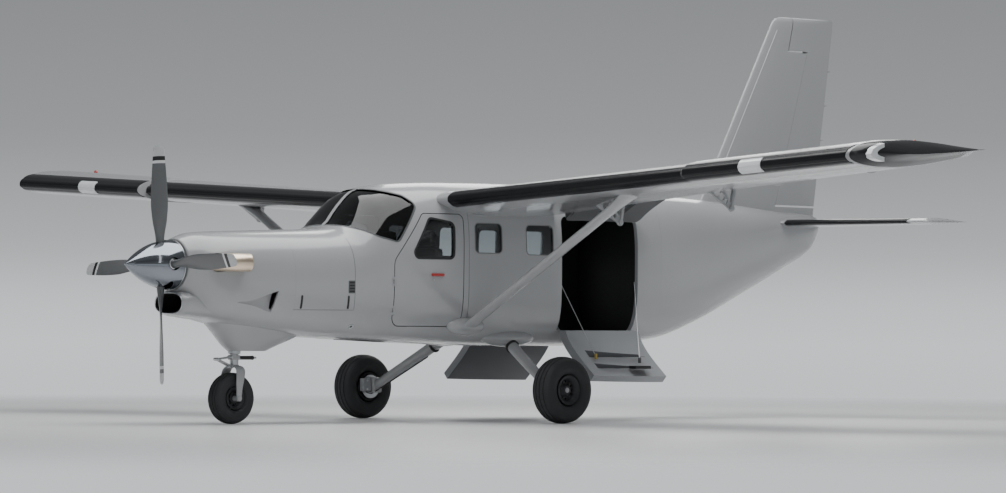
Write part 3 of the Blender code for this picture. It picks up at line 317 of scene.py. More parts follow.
def ribbon(points, normals, width, height):
    """A low flat strip laid on a surface along a path."""
    rings = []
    for i, (point, normal) in enumerate(zip(points, normals)):
        way = (points[min(i + 1, len(points) - 1)] - points[max(i - 1, 0)]).normalized()
        across = normal.cross(way).normalized() * width / 2
        foot = point - normal * 0.001
        top = point + normal * height
        rings.append([foot - across, foot + across, top + across * 0.8, top - across * 0.8])
    return loft(rings)


def combined(piece, other, operation):
    """One solid out of two. Each face keeps its finish, and the other piece is used up."""
    modified(piece, "BOOLEAN", operation=operation, object=other, solver="EXACT", material_mode="TRANSFER")
    bpy.data.objects.remove(other)
    return piece


def cut(piece, other):
    return combined(piece, other, "DIFFERENCE")


def joined(piece, other):
    return combined(piece, other, "UNION")


def common(piece, other):
    return combined(piece, other, "INTERSECT")


def merged(pieces):
    """Several pieces as one object, each still its own closed shape."""
    first = activate(*pieces)
    if len(pieces) > 1:
        bpy.ops.object.join()
    return first


def to_side(piece, side):
    """The piece as it is for the left, or turned into its mirror image for the right."""
    if side < 0:
        piece.data.transform(Matrix.Scale(-1, 4, (1, 0, 0)))
        piece.data.flip_normals()
    return piece


def swung_open(piece, joint_name):
    """Swings a piece drawn closed to where its joint rests, which is at one end of the joint's range."""
    joint = JOINTS[joint_name]
    place, axis = Vector(joint["pos_m"]), Vector(joint["axis"])
    turn = Matrix.Rotation(math.radians(-joint["range_deg"][0]), 4, axis)
    piece.data.transform(Matrix.Translation(place) @ turn @ Matrix.Translation(-place))
    return piece


def finished(piece, name, rides_on, finish=None, replaces=(), angle=32, even=False):
    """Names a piece, smooths it, gives it its finish and hangs it on its CAD body, if it has one."""
    settle(piece)
    piece.name = name
    piece.data.name = name
    dressed(piece, finish)
    bpy.ops.object.shade_smooth_by_angle(angle=math.radians(angle))
    if even:
        modified(piece, "WEIGHTED_NORMAL", keep_sharp=True, weight=60)
    if rides_on:
        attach(piece, rides_on)
    if replaces:
        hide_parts(*replaces)
    return piece


# Finishes

def fill(tree, node, inputs):
    """Gives each of a node's inputs a value, or a link from another node's output."""
    for name, value in inputs.items():
        if isinstance(value, bpy.types.NodeSocket):
            tree.links.new(value, node.inputs[name])
        else:
            node.inputs[name].default_value = value


def add_node(tree, kind, inputs=(), **fields):
    node = tree.nodes.new(f"ShaderNode{kind}")
    for name, value in fields.items():
        setattr(node, name, value)
    fill(tree, node, dict(inputs))
    return node


def new_material(name):
    """The material of that name, with its node tree only where it has just been made."""
    found = bpy.data.materials.get(name)
    if found:
        return found, None
    made = bpy.data.materials.new(name)
    made.use_nodes = True
    return made, made.node_tree


def surface(name, colour, roughness, metallic=0.0, coat=0.0, wear=0.08, grain=0.0, grain_scale=40.0,
            stretch=(1.0, 1.0, 1.0), bump=0.0, patch_scale=1.5, specular=0.5):
    """A finish whose colour and gloss drift a little over the surface, with a fine grain of its own."""
    made, tree = new_material(name)
    if tree is None:
        return made
    place = add_node(tree, "TexCoord").outputs["Object"]
    place = add_node(tree, "Mapping", {"Scale": stretch, "Vector": place}).outputs["Vector"]
    patches = add_node(tree, "TexNoise", {"Scale": patch_scale, "Detail": 5, "Vector": place})
    fine = add_node(tree, "TexNoise", {"Scale": grain_scale, "Detail": 3, "Vector": place})
    worn = (*[value * (1 - wear) for value in colour], 1)
    fresh = (*[min(value * (1 + wear * 0.5), 1) for value in colour], 1)
    tint = add_node(tree, "Mix", {"A": worn, "B": fresh, "Factor": patches.outputs["Fac"]}, data_type="RGBA")
    gloss = add_node(tree, "MapRange", {
        "To Min": max(roughness * (1 - wear * 2), 0.02), "To Max": min(roughness * (1 + wear * 3), 1),
        "Value": fine.outputs["Fac"]})
    shader = tree.nodes["Principled BSDF"]
    fill(tree, shader, {
        "Metallic": metallic, "Coat Weight": coat, "Coat Roughness": 0.08, "Specular IOR Level": specular,
        "Base Color": tint.outputs["Result"], "Roughness": gloss.outputs["Result"]})
    if grain or bump:
        height = add_node(tree, "Bump", {
            "Strength": bump or 0.1, "Distance": grain, "Height": fine.outputs["Fac"]})
        fill(tree, shader, {"Normal": height.outputs["Normal"]})
    return made


# For each look: the material's name, its colour or the setting that holds it, its roughness, and the rest
LOOKS = {
    "paint": ("gloss_white_paint", "paint", 0.24,
              dict(coat=0.5, wear=0.025, grain=0.0004, grain_scale=260, bump=0.02)),
    "dark_tip": ("dark_tip_paint", (0.02, 0.021, 0.023), 0.16, dict(wear=0.1, specular=0.4)),
    "boot": ("boot_rubber", "boots", 0.2,
             dict(wear=0.12, grain=0.0006, grain_scale=60, bump=0.02, specular=0.16)),
    "tyre": ("tyre_rubber", "tyres", 0.72,
             dict(wear=0.3, grain=0.002, grain_scale=220, bump=0.25, patch_scale=6)),
    "wheel": ("wheel_casting", (0.035, 0.037, 0.04), 0.45,
              dict(metallic=0.3, wear=0.25, grain=0.001, grain_scale=300, bump=0.15)),
    "chrome": ("polished_spinner", (0.24, 0.26, 0.29), 0.09,
               dict(metallic=1.0, wear=0.12, grain_scale=18, stretch=(1, 0.12, 1))),
    "steel": ("bright_steel", (0.55, 0.56, 0.58), 0.3, dict(metallic=1.0, wear=0.15, grain_scale=120)),
    "exhaust": ("heat_tinted_steel", (0.78, 0.64, 0.50), 0.3,
                dict(metallic=1.0, wear=0.14, grain_scale=60, patch_scale=4)),
    # Near black: soot round the exhausts, and painted shade inside the cowling, its intake duct and the
    # spinner, and in the hubs' holes
    "soot": ("exhaust_soot", (0.012, 0.011, 0.010), 0.9, dict(wear=0.4, patch_scale=20)),
    "black": ("black_anodised", (0.012, 0.012, 0.013), 0.35, dict(wear=0.3, grain_scale=160)),
    "seam": ("panel_gap", (0.17, 0.175, 0.18), 0.7, dict(wear=0.3, grain_scale=60)),
    # Near black painted shade for open gaps round doors, hinges and the rudder, and in the latch slots; the
    # belly's oval uses it too
    "gap_shade": ("open_gap", (0.02, 0.021, 0.022), 0.8, dict(wear=0.3, grain_scale=60)),
    "gasket": ("rubber_gasket", (0.02, 0.021, 0.022), 0.55,
               dict(wear=0.3, grain=0.0005, grain_scale=400, bump=0.2)),
    # Near black: the lining's own dark colour deepened into painted shade for the inside of the cabin
    "lining": ("cabin_lining", (0.016, 0.0165, 0.017), 0.85,
               dict(wear=0.35, grain=0.002, grain_scale=180, bump=0.3)),
    "trim": ("grey_trim", (0.09, 0.095, 0.10), 0.55,
             dict(wear=0.15, grain=0.001, grain_scale=200, bump=0.15)),
    "grey_paint": ("grey_stair_paint", (0.30, 0.31, 0.325), 0.42,
                   dict(wear=0.08, grain=0.0008, grain_scale=220, bump=0.12)),
    # Dark grey painted shade on the stairs' outer faces and the faces of their step cuts
    "stair_shade": ("dark_stair_paint", (0.10, 0.105, 0.115), 0.5,
                   dict(wear=0.12, grain=0.0008, grain_scale=220, bump=0.12)),
    "leather": ("seat_leather", (0.11, 0.105, 0.095), 0.5,
                dict(coat=0.1, wear=0.2, grain=0.002, grain_scale=140, bump=0.35, patch_scale=8)),
    # Paler than the white paint: a painted highlight along the edge of the fin's front strip
    "edge_highlight": ("pale_edge_sealant", (0.75, 0.76, 0.78), 0.4, dict(wear=0.05, grain_scale=90)),
    "red": ("red_enamel", "accents", 0.3, dict(coat=0.4, wear=0.12)),
    "yellow": ("yellow_enamel", (0.42, 0.30, 0.06), 0.4, dict(wear=0.15)),
    "floor": ("ribbed_floor", (0.05, 0.052, 0.055), 0.6,
              dict(wear=0.3, grain=0.002, grain_scale=90, bump=0.3)),
    "lens": ("frosted_lens", (0.72, 0.74, 0.76), 0.12, dict(coat=1.0, wear=0.06, grain_scale=30)),
}


def look(name):
    """The material of a row of the table above."""
    label, colour, roughness, more = LOOKS[name]
    if isinstance(colour, str):
        colour = getattr(settings("colours"), colour)
    return surface(label, colour, roughness, **more)


def glass_finish(name="tinted_glass", colour=(0.62, 0.66, 0.68), roughness=0.02, specular=0.5):
    """Clear panes, faintly uneven as pressed acrylic is."""
    made, tree = new_material(name)
    if tree is None:
        return made
    place = add_node(tree, "TexCoord").outputs["Object"]
    waves = add_node(tree, "TexNoise", {"Scale": 5.0, "Vector": place})
    height = add_node(tree, "Bump", {"Strength": 0.03, "Distance": 0.01, "Height": waves.outputs["Fac"]})
    fill(tree, tree.nodes["Principled BSDF"], {
        "Base Color": (*colour, 1), "Roughness": roughness, "Transmission Weight": 1.0, "IOR": 1.45,
        "Specular IOR Level": specular, "Normal": height.outputs["Normal"]})
    return made


def blade_finish():
    """Satin grey, with a white tip, a black band and a white band, set by the distance from the shaft."""
    made, tree = new_material("banded_blade_paint")
    if tree is None:
        return made
    place = add_node(tree, "TexCoord").outputs["Object"]
    centred = add_node(tree, "Mapping", {"Location": (0, 0, -PROP_Z), "Scale": (1, 0, 1), "Vector": place})
    length = add_node(tree, "VectorMath", {0: centred.outputs["Vector"]}, operation="LENGTH")
    share = add_node(tree, "MapRange", {"From Max": BLADE_LENGTH, "Value": length.outputs["Value"]})
    bands = add_node(tree, "ValToRGB", {"Fac": share.outputs["Result"]})
    ramp = bands.color_ramp
    ramp.interpolation = "CONSTANT"
    ramp.elements[0].color = (*settings("colours").blades, 1)
    ramp.elements[1].position = BLADE_BANDS[0][0]
    ramp.elements[1].color = BLADE_BANDS[0][1]
    for place_on_blade, colour in BLADE_BANDS[1:]:
        element = ramp.elements.new(place_on_blade)
        element.color = colour
    worn = add_node(tree, "TexNoise", {"Scale": 35, "Vector": place})
    mix = add_node(tree, "Mix", {"Factor": 0.12, "A": bands.outputs["Color"], "B": worn.outputs["Color"]},
                   data_type="RGBA", blend_type="MULTIPLY")
    gloss = add_node(tree, "MapRange", {"To Min": 0.26, "To Max": 0.42, "Value": worn.outputs["Fac"]})
    fill(tree, tree.nodes["Principled BSDF"], {
        "Coat Weight": 0.2, "Base Color": mix.outputs["Result"], "Roughness": gloss.outputs["Result"]})
    return made


# Settings that a user would change

def colour_setting(name, description, default):
    return bpy.props.FloatVectorProperty(name=name, description=description, subtype="COLOR", size=3,
                                         min=0, max=1, default=default)


def length_setting(name, description, low, high, default):
    return bpy.props.FloatProperty(name=name, description=description, subtype="DISTANCE", unit="LENGTH",
                                   min=low, max=high, default=default)


class PlaneColours(bpy.types.PropertyGroup):
    """The colours of the aircraft's main finishes."""
    paint: colour_setting("Paint", "Gloss paint of the whole airframe", (0.345, 0.352, 0.362))
    boots: colour_setting("Boots", "Rubber strips on the leading edges", (0.014, 0.0145, 0.016))
    tyres: colour_setting("Tyres", "Rubber of the tyres", (0.026, 0.027, 0.029))
    blades: colour_setting("Blades", "Satin paint of the propeller's blades", (0.12, 0.125, 0.13))
    accents: colour_setting("Accents", "Enamel of the handles and the port light", (0.42, 0.03, 0.025))


class PlaneSizes(bpy.types.PropertyGroup):
    """The sizes of the aircraft's fine details."""
    seam_width: length_setting("Seam width", "Width of the gaps between skin panels", 0.002, 0.03, 0.007)
    seam_height: length_setting("Seam height", "How far the seams stand off the skin", 0.0005, 0.005, 0.001)
    gasket_width: length_setting("Gasket width", "Width of the rubber around each window", 0.005, 0.06, 0.02)
    boot_height: length_setting("Boot height", "How far the boots' tubes stand off the leading edges",
                                0.001, 0.02, 0.006)
    groove_depth: length_setting("Tread depth", "Depth of the grooves round the tyres", 0.001, 0.02, 0.007)


class StudioSettings(bpy.types.PropertyGroup):
    """The floor, the lights and the camera's lens."""
    lens: bpy.props.FloatProperty(
        name="Lens", description="Focal length on a 36 mm sensor", subtype="DISTANCE_CAMERA", unit="CAMERA",
        min=20, max=400, default=162.64)
    overhead: bpy.props.FloatProperty(
        name="Overhead light", description="Power of the soft light above", subtype="POWER", unit="POWER",
        min=0, max=20000, default=2500)
    floor_tone: bpy.props.FloatProperty(
        name="Floor tone", description="How pale the floor is", subtype="FACTOR", min=0, max=1, default=0.82)


GROUPS = {"colours": PlaneColours, "sizes": PlaneSizes, "studio": StudioSettings}


def settings(name):
    """One of the scene's groups of settings."""
    return getattr(bpy.context.scene, f"bush_plane_{name}")


# The fuselage's shape

# station, half width, bottom, top, height of the widest place, squareness below, squareness above
SECTIONS = (
    (0.62, 0.27, 1.36, 1.90, 1.63, 2.0, 2.0),
    (0.85, 0.41, 1.10, 1.965, 1.55, 2.4, 2.2),
    (1.20, 0.49, 1.02, 1.985, 1.50, 2.6, 2.4),
    (1.78, 0.58, 0.95, 2.006, 1.48, 3.0, 2.5),
    (2.30, 0.64, 0.90, 2.025, 1.50, 3.2, 2.6),
    (2.62, 0.66, 0.885, 2.07, 1.52, 3.4, 2.6),
    (2.80, 0.67, 0.875, 2.26, 1.56, 3.6, 2.4),
    (3.02, 0.685, 0.868, 2.44, 1.60, 3.8, 2.5),
    (3.42, 0.71, 0.85, 2.52, 1.64, 4.0, 3.0),
    (4.00, 0.725, 0.83, 2.55, 1.66, 4.0, 3.6),
    (4.80, 0.725, 0.81, 2.56, 1.66, 4.0, 3.6),
    (5.50, 0.725, 0.807, 2.56, 1.66, 4.0, 3.6),
    (6.50, 0.71, 0.82, 2.53, 1.68, 3.8, 3.4),
    (7.23, 0.65, 0.887, 2.50, 1.74, 3.4, 3.2),
    (7.84, 0.56, 1.046, 2.475, 1.82, 3.0, 3.0),
    (8.72, 0.42, 1.38, 2.42, 1.98, 2.6, 2.6),
    (9.46, 0.27, 1.685, 2.36, 2.08, 2.4, 2.4),
    (10.00, 0.12, 1.935, 2.33, 2.16, 2.2, 2.2),
    (10.12, 0.06, 2.08, 2.30, 2.19, 2.0, 2.0),
)
section = smooth_table(SECTIONS)
RING_POINTS = 112
RING_STEP = 0.065
SEAT_GAP = 0.0003
MOVING_GAP = 0.008
WALL = 0.045
FIREWALL = 1.78
BULKHEAD = 0.10
REAR_BULKHEAD = 0.02
CABIN_END = 6.95
BEYOND = 1.2


def skin_ring(station, inset=0.0):
    """One ring of the fuselage, drawn in from the skin by the inset."""
    width, bottom, top, middle, square_low, square_high = section(station)
    ring = []
    for i in range(RING_POINTS):
        turn = math.tau * (i + 0.5) / RING_POINTS
        across, up = math.cos(turn), math.sin(turn)
        square, reach = (square_high, top - middle) if up > 0 else (square_low, middle - bottom)
        full = abs(across / (width - inset)) ** square + abs(up / (reach - inset)) ** square
        radius = full ** (-1 / square)
        ring.append(at(radius * across, station, middle + radius * up))
    return ring


def body(start, end, inset=0.0, finish=None):
    """The fuselage as a solid from one station to another."""
    count = max(2, round((end - start) / RING_STEP) + 1)
    return dressed(loft([skin_ring(station, inset) for station in spread(start, end, count)]), finish)


def skin_x(station, z):
    """How far out the skin is at a station and a height."""
    width, bottom, top, middle, square_low, square_high = section(station)
    square, reach = (square_high, top - middle) if z > middle else (square_low, middle - bottom)
    return width * (1 - min(abs(z - middle) / reach, 0.9999) ** square) ** (1 / square)


def belly_z(x, station):
    """The height of the belly at a side distance and a station."""
    width, bottom, _, middle, square, _ = section(station)
    return middle + (bottom - middle) * (1 - min(abs(x) / width, 0.9999) ** square) ** (1 / square)


def skin_point(station, z, side, lift=0.0):
    """A point on the skin, or lifted off it, with the way out of the skin there."""
    step = 0.004
    slope_aft = (skin_x(station + step, z) - skin_x(station - step, z)) / (2 * step)
    slope_up = (skin_x(station, z + step) - skin_x(station, z - step)) / (2 * step)
    normal = Vector((side, -slope_aft, -slope_up)).normalized()
    return at(side * skin_x(station, z), station, z) + normal * lift, normal


def dressed(piece, finish):
    """Gives a raw shape its finish, which the cuts that it makes keep."""
    if finish:
        piece.data.materials.clear()
        piece.data.materials.append(finish)
    return piece


def drawn(points, spacing=0.03):
    """A path with more points between its own, so that it follows a curved skin."""
    found = [tuple(points[0])]
    for a, b in zip(points, points[1:]):
        a, b = Vector(a), Vector(b)
        steps = max(1, math.ceil((b - a).length / spacing))
        found += [tuple(a.lerp(b, k / steps)) for k in range(1, steps + 1)]
    return found


def seam(path, side):
    """A low strip on the fuselage's skin along a path of (station, height) points."""
    sizes = settings("sizes")
    places = [skin_point(station, z, side) for station, z in drawn(path)]
    return ribbon([place for place, _ in places], [normal for _, normal in places],
                  sizes.seam_width, sizes.seam_height)


# Outlines in the side view: station, height, corner radius
CREW_DOOR = rounded(((3.035, 1.02, 0.12), (3.965, 1.02, 0.12), (3.975, 2.20, 0.06), (3.45, 2.20, 0.06),
                     (3.04, 1.70, 0.15)))
CREW_WINDOW = rounded(((3.27, 1.74, 0.05), (3.83, 1.74, 0.05), (3.84, 2.10, 0.06), (3.53, 2.15, 0.05)))
CABIN_WINDOWS = (rounded(((4.14, 1.80, 0.05), (4.52, 1.80, 0.05), (4.52, 2.11, 0.05), (4.14, 2.11, 0.05))),
                 rounded(((4.88, 1.79, 0.05), (5.27, 1.79, 0.05), (5.27, 2.10, 0.05), (4.88, 2.10, 0.05))),)
REAR_DOOR_FRONT = 5.40
REAR_DOOR_BACK = 6.56
REAR_DOOR_SILL = 0.98
REAR_DOOR_SPLIT = 1.70
REAR_DOOR_TOP = 2.21
REAR_DOORWAY = rounded(((REAR_DOOR_FRONT, REAR_DOOR_SILL, 0.012), (REAR_DOOR_BACK, REAR_DOOR_SILL, 0.012),
                        (REAR_DOOR_BACK, REAR_DOOR_TOP, 0.08), (REAR_DOOR_FRONT, REAR_DOOR_TOP, 0.08)))

# The panes of each rear upper door: the CAD node, front station, back station
REAR_WINDOWS = {"left": (("rear_door_window_left", 5.80, 6.18),),
                "right": (("rear_door_window_right", 6.04, 6.42),
                          ("rear_door_front_window_right", 5.46, 5.74)),}
REAR_WINDOW_Z = (1.80, 2.08)
WINDSCREEN = rounded(((2.45, 2.16, 0), (2.62, 2.085, 0.03), (2.68, 2.05, 0.03), (2.876, 1.955, 0.3),
                      (3.10, 1.90, 0.06), (3.40, 2.29, 0.06), (3.30, 2.39, 0.05), (3.05, 2.47, 0.05),
                      (2.95, 2.60, 0)))
POST_HALF_WIDTH = 0.025
GLASS = 0.008
GLASS_INSET = 0.012


def wall_piece(outline, side, inset=0.0, thickness=WALL, x_from=0.0, outer=None, inner=None, edge=None):
    """The piece of the wall inside an outline of the side view, with a finish for each of its faces."""
    start = min(station for station, _ in outline) - 0.06
    end = max(station for station, _ in outline) + 0.06
    piece = common(body(start, end, inset, outer),
                   dressed(side_prism(outline, side * x_from, side * BEYOND), edge or outer))
    return cut(piece, body(start - 0.05, end + 0.05, inset + thickness, inner or outer))


def pane(outline, side, x_from=0.0):
    return wall_piece(grown(outline, -SEAT_GAP), side, GLASS_INSET, GLASS, x_from, glass_finish())


def gasket(outline, side, x_from=0.0, width=None, finish=None):
    """A rubber strip round a window, just proud of the skin and down the edge of its hole."""
    width = width or settings("sizes").gasket_width
    strip = wall_piece(grown(outline, width), side, -0.002, 0.004, x_from, finish or look("gasket"))
    return cut(strip, side_prism(grown(outline, -0.002), side * x_from, side * BEYOND))


class Maker:
    """What every building step of the aircraft shares."""
    bl_options = {"REGISTER", "UNDO"}


class BuildCabin(Maker, bpy.types.Operator):
    """Build the cabin's walls and roof, with doorways, window holes and gear fairings"""
    bl_idname = "bush_plane.cabin"
    bl_label = "Cabin walls"

    def execute(self, context):
        shell = body(FIREWALL + SEAT_GAP, CABIN_END - SEAT_GAP, 0.0, look("paint"))
        for _, side in SIDES:
            x, station, z = BULGE_MIDDLE
            joined(shell, dressed(ball(at(side * x, station, z), BULGE_REACH), look("paint")))
        # The cabin's inner faces take the lining's near black: its own dark colour, deepened into painted
        # shade
        cut(shell, body(FIREWALL + BULKHEAD, CABIN_END - REAR_BULKHEAD, WALL, look("lining")))
        # Round the crew doorway and the stair hinges' knuckles the cut faces are near black: painted shade
        # in the gaps
        holes = [(grown(CREW_DOOR, MOVING_GAP), look("gap_shade")), (REAR_DOORWAY, look("grey_paint"))]
        holes += [(outline, look("trim")) for outline in CABIN_WINDOWS]
        for outline, finish in holes:
            cut(shell, dressed(side_prism(outline, -BEYOND, BEYOND), finish))
        for _, side in SIDES:
            screen = side_prism(WINDSCREEN, side * POST_HALF_WIDTH, side * BEYOND)
            cut(shell, dressed(screen, look("gasket")))
            for place in hinge_places(STAIR_HINGE, side):
                reach = Vector((0, KNUCKLE_HALF + SEAT_GAP, 0))
                room = bar(place - reach, place + reach, KNUCKLE_RADIUS + 0.008)
                cut(shell, dressed(room, look("gap_shade")))
        finished(shell, "cabin_walls", "airframe", replaces=["cabin_shell"], even=True)
        return {"FINISHED"}


class BuildWindows(Maker, bpy.types.Operator):
    """Build the windscreen, the cabin's side windows and the strips round them"""
    bl_idname = "bush_plane.windows"
    bl_label = "Windows"

    def execute(self, context):
        for name, side in SIDES:
            screen = pane(WINDSCREEN, side, POST_HALF_WIDTH + SEAT_GAP)
            dressed(screen, glass_finish("smoked_glass", (0.10, 0.105, 0.11), 0.015, 0.12))
            finished(screen, f"windscreen_pane_{name}", "airframe", replaces=[f"windscreen_{name}"])
            strip = gasket(WINDSCREEN, side, POST_HALF_WIDTH - 0.012, 0.014, look("trim"))
            finished(strip, f"windscreen_strip_{name}", "airframe")
            for row, outline in enumerate(CABIN_WINDOWS, 1):
                glass = pane(outline, side)
                finished(glass, f"cabin_pane_{row}_{name}", "airframe",
                         replaces=[f"window_{row}_{name}"])
                rim = gasket(outline, side, width=0.008, finish=look("seam"))
                finished(rim, f"cabin_rim_{row}_{name}", "airframe")
        return {"FINISHED"}


# Doors and their hinges

KNUCKLE_RADIUS = 0.010
KNUCKLE_HALF = 0.02
KNUCKLE_END = 0.05
AXIS_OFF_SKIN = 0.016
LEAF_THICK = 0.01

# For each kind of hinge: its (station, height) places, and its two leaves' ends from the axis
CREW_HINGE = (((3.03, 1.18), (3.03, 1.48)), (-0.036, -0.03, 0.0), (-0.036, 0.03, 0.0))
UPPER_HINGE = (((5.62, 2.215), (6.34, 2.215)), (-0.045, 0.0, 0.028), (-0.030, 0.0, -0.035))
STAIR_HINGE = (((5.62, 0.970), (6.34, 0.970)), (-0.055, 0.0, -0.018), (0.035, 0.0, -0.012))
STAIR_THICK = 0.085


def hinge_places(hinge, side):
    """The middles of a hinge's knuckles, just off the skin."""
    return [at(side * (skin_x(station, z) + AXIS_OFF_SKIN), station, z) for station, z in hinge[0]]


def hinge_leaves(hinge, side, moving):
    """The knuckles and leaves that stay on the fuselage, or those that swing with the door."""
    places = hinge_places(hinge, side)
    axis = (places[-1] - places[0]).normalized()
    x, along, z = hinge[2] if moving else hinge[1]
    leaf = Vector((side * x, along, z))
    leaf -= axis * leaf.dot(axis)
    if moving:
        spans = ((-KNUCKLE_HALF, KNUCKLE_HALF),)
    else:
        spans = ((-KNUCKLE_END, -KNUCKLE_HALF - SEAT_GAP), (KNUCKLE_HALF + SEAT_GAP, KNUCKLE_END))
    pieces = []
    for place in places:
        for near, far in spans:
            start, end = place + axis * near, place + axis * far
            pieces.append(bar(start, end, KNUCKLE_RADIUS, sides=20, bevel=0.0015))
            middle = (start + end) / 2
            pieces.append(slab(middle, middle + leaf, axis, far - near - 2 * SEAT_GAP, LEAF_THICK, 0.0015))
    return merged(pieces)


class BuildCrewDoors(Maker, bpy.types.Operator):
    """Build the two crew doors with their windows, hinges and handles"""
    bl_idname = "bush_plane.crew_doors"
    bl_label = "Crew doors"

    def execute(self, context):
        for name, side in SIDES:
            # The door's edge faces are near black: painted shade in the gap round it
            door = wall_piece(CREW_DOOR, side, 0.0, WALL, 0.0, look("paint"), look("lining"),
                              look("gap_shade"))
            cut(door, dressed(side_prism(CREW_WINDOW, -BEYOND, BEYOND), look("gasket")))
            ride = f"crew_door_{name}"
            finished(door, f"crew_door_panel_{name}", ride, replaces=[ride], even=True)
            finished(pane(CREW_WINDOW, side), f"crew_door_pane_{name}", ride,
                     replaces=[f"crew_door_window_{name}"])
            finished(gasket(CREW_WINDOW, side), f"crew_door_gasket_{name}", ride)
            finished(hinge_leaves(CREW_HINGE, side, True), f"crew_door_knuckles_{name}", ride,
                     look("paint"))
            finished(hinge_leaves(CREW_HINGE, side, False), f"crew_door_hinges_{name}", "airframe",
                     look("paint"))
            finished(self.handle(side), f"crew_door_handle_{name}", ride)
        return {"FINISHED"}

    def handle(self, side):
        """A red lever on a short post, with a small lock beside it."""
        start, normal = skin_point(3.52, 1.557, side, 0.014)
        end, _ = skin_point(3.69, 1.557, side, 0.012)
        lever = slab(start, end, UP, 0.030, 0.012, 0.004)
        root, _ = skin_point(3.535, 1.557, side, -0.004)
        post = bar(root, root + normal * 0.018, 0.011, sides=24, bevel=0.002)
        lock, normal = skin_point(3.56, 1.50, side, -0.004)
        barrel = bar(lock, lock + normal * 0.007, 0.010, sides=24, bevel=0.001)
        return merged([dressed(lever, look("red")), dressed(post, look("red")),
                       dressed(barrel, look("steel"))])


def rear_window(front, back):
    low, high = REAR_WINDOW_Z
    return rounded(((front, low, 0.05), (back, low, 0.05), (back, high, 0.05), (front, high, 0.05)))


class BuildRearDoors(Maker, bpy.types.Operator):
    """Build the upper halves of the rear doors, the left one swung up as it is parked"""
    bl_idname = "bush_plane.rear_doors"
    bl_label = "Rear upper doors"

    def execute(self, context):
        low, high = REAR_DOOR_SPLIT + MOVING_GAP / 2, REAR_DOOR_TOP - MOVING_GAP
        front, back = REAR_DOOR_FRONT + MOVING_GAP, REAR_DOOR_BACK - MOVING_GAP
        outline = rounded(((front, low, 0.02), (back, low, 0.02), (back, high, 0.07), (front, high, 0.07)))
        for name, side in SIDES:
            ride = f"rear_upper_door_{name}"
            joint = f"{ride}_hinge"
            # The door's edge faces are near black: painted shade in the gap round it
            door = wall_piece(outline, side, 0.0, WALL, 0.0, look("paint"), look("trim"), look("gap_shade"))
            windows = [(node, rear_window(start, end)) for node, start, end in REAR_WINDOWS[name]]
            pieces = [(hinge_leaves(UPPER_HINGE, side, True), "knuckles", "white_paint", (), look("paint")),
                      (self.inner_trim(side, windows), "liner", "interior", (), None)]
            for row, (node, hole) in enumerate(windows, 1):
                cut(door, dressed(side_prism(hole, -BEYOND, BEYOND), look("trim")))
                pieces.append((pane(hole, side), f"pane_{row}", "glass", [node], None))
            pieces.append((door, "panel", "white_paint", [ride], None))
            for piece, label, slot, nodes, finish in pieces:
                if side > 0:
                    swung_open(piece, joint)
                finished(dressed(piece, finish), f"rear_upper_{label}_{name}", ride, replaces=nodes,
                         even=label == "panel")
            finished(hinge_leaves(UPPER_HINGE, side, False), f"rear_upper_hinges_{name}", "airframe",
                     look("paint"))
        return {"FINISHED"}

    def inner_trim(self, side, windows):
        """A shallow liner on the door's inner face, round its windows, with a latch bar below."""
        panel = rounded(((5.43, 1.76, 0.04), (6.50, 1.76, 0.04), (6.50, 2.13, 0.06), (5.43, 2.13, 0.06)))
        liner = wall_piece(panel, side, WALL, 0.010, 0.0, look("trim"))
        for _, hole in windows:
            cut(liner, side_prism(grown(hole, 0.012), -BEYOND, BEYOND))
        latch = wall_piece(rounded(((5.86, 1.722, 0.008), (6.12, 1.722, 0.008), (6.12, 1.748, 0.008),
                                    (5.86, 1.748, 0.008))), side, WALL, 0.022, 0.0, look("steel"))
        return merged([liner, latch])


# Cuts across the open stair that make its steps: near x, far x, top z, bottom z
STAIR_NOTCHES = ((0.898, 1.05, 0.90, 0.695), (1.045, 1.18, 0.66, 0.575))
STAIR_RAIL = 0.17
CABLE_RADIUS = 0.004

# Stay cables: label, end at the doorway's jamb, end at the stair, as (x, station, z)
CABLES = (("front", (0.690, 5.4035, 1.50), (1.03, 5.62, 0.70)),
          ("aft", (0.655, 6.5565, 1.50), (1.10, 6.21, 0.66)))
# Half the size of the bracket at each cable's foot
CABLE_BRACKET = (0.012, 0.014, 0.030)


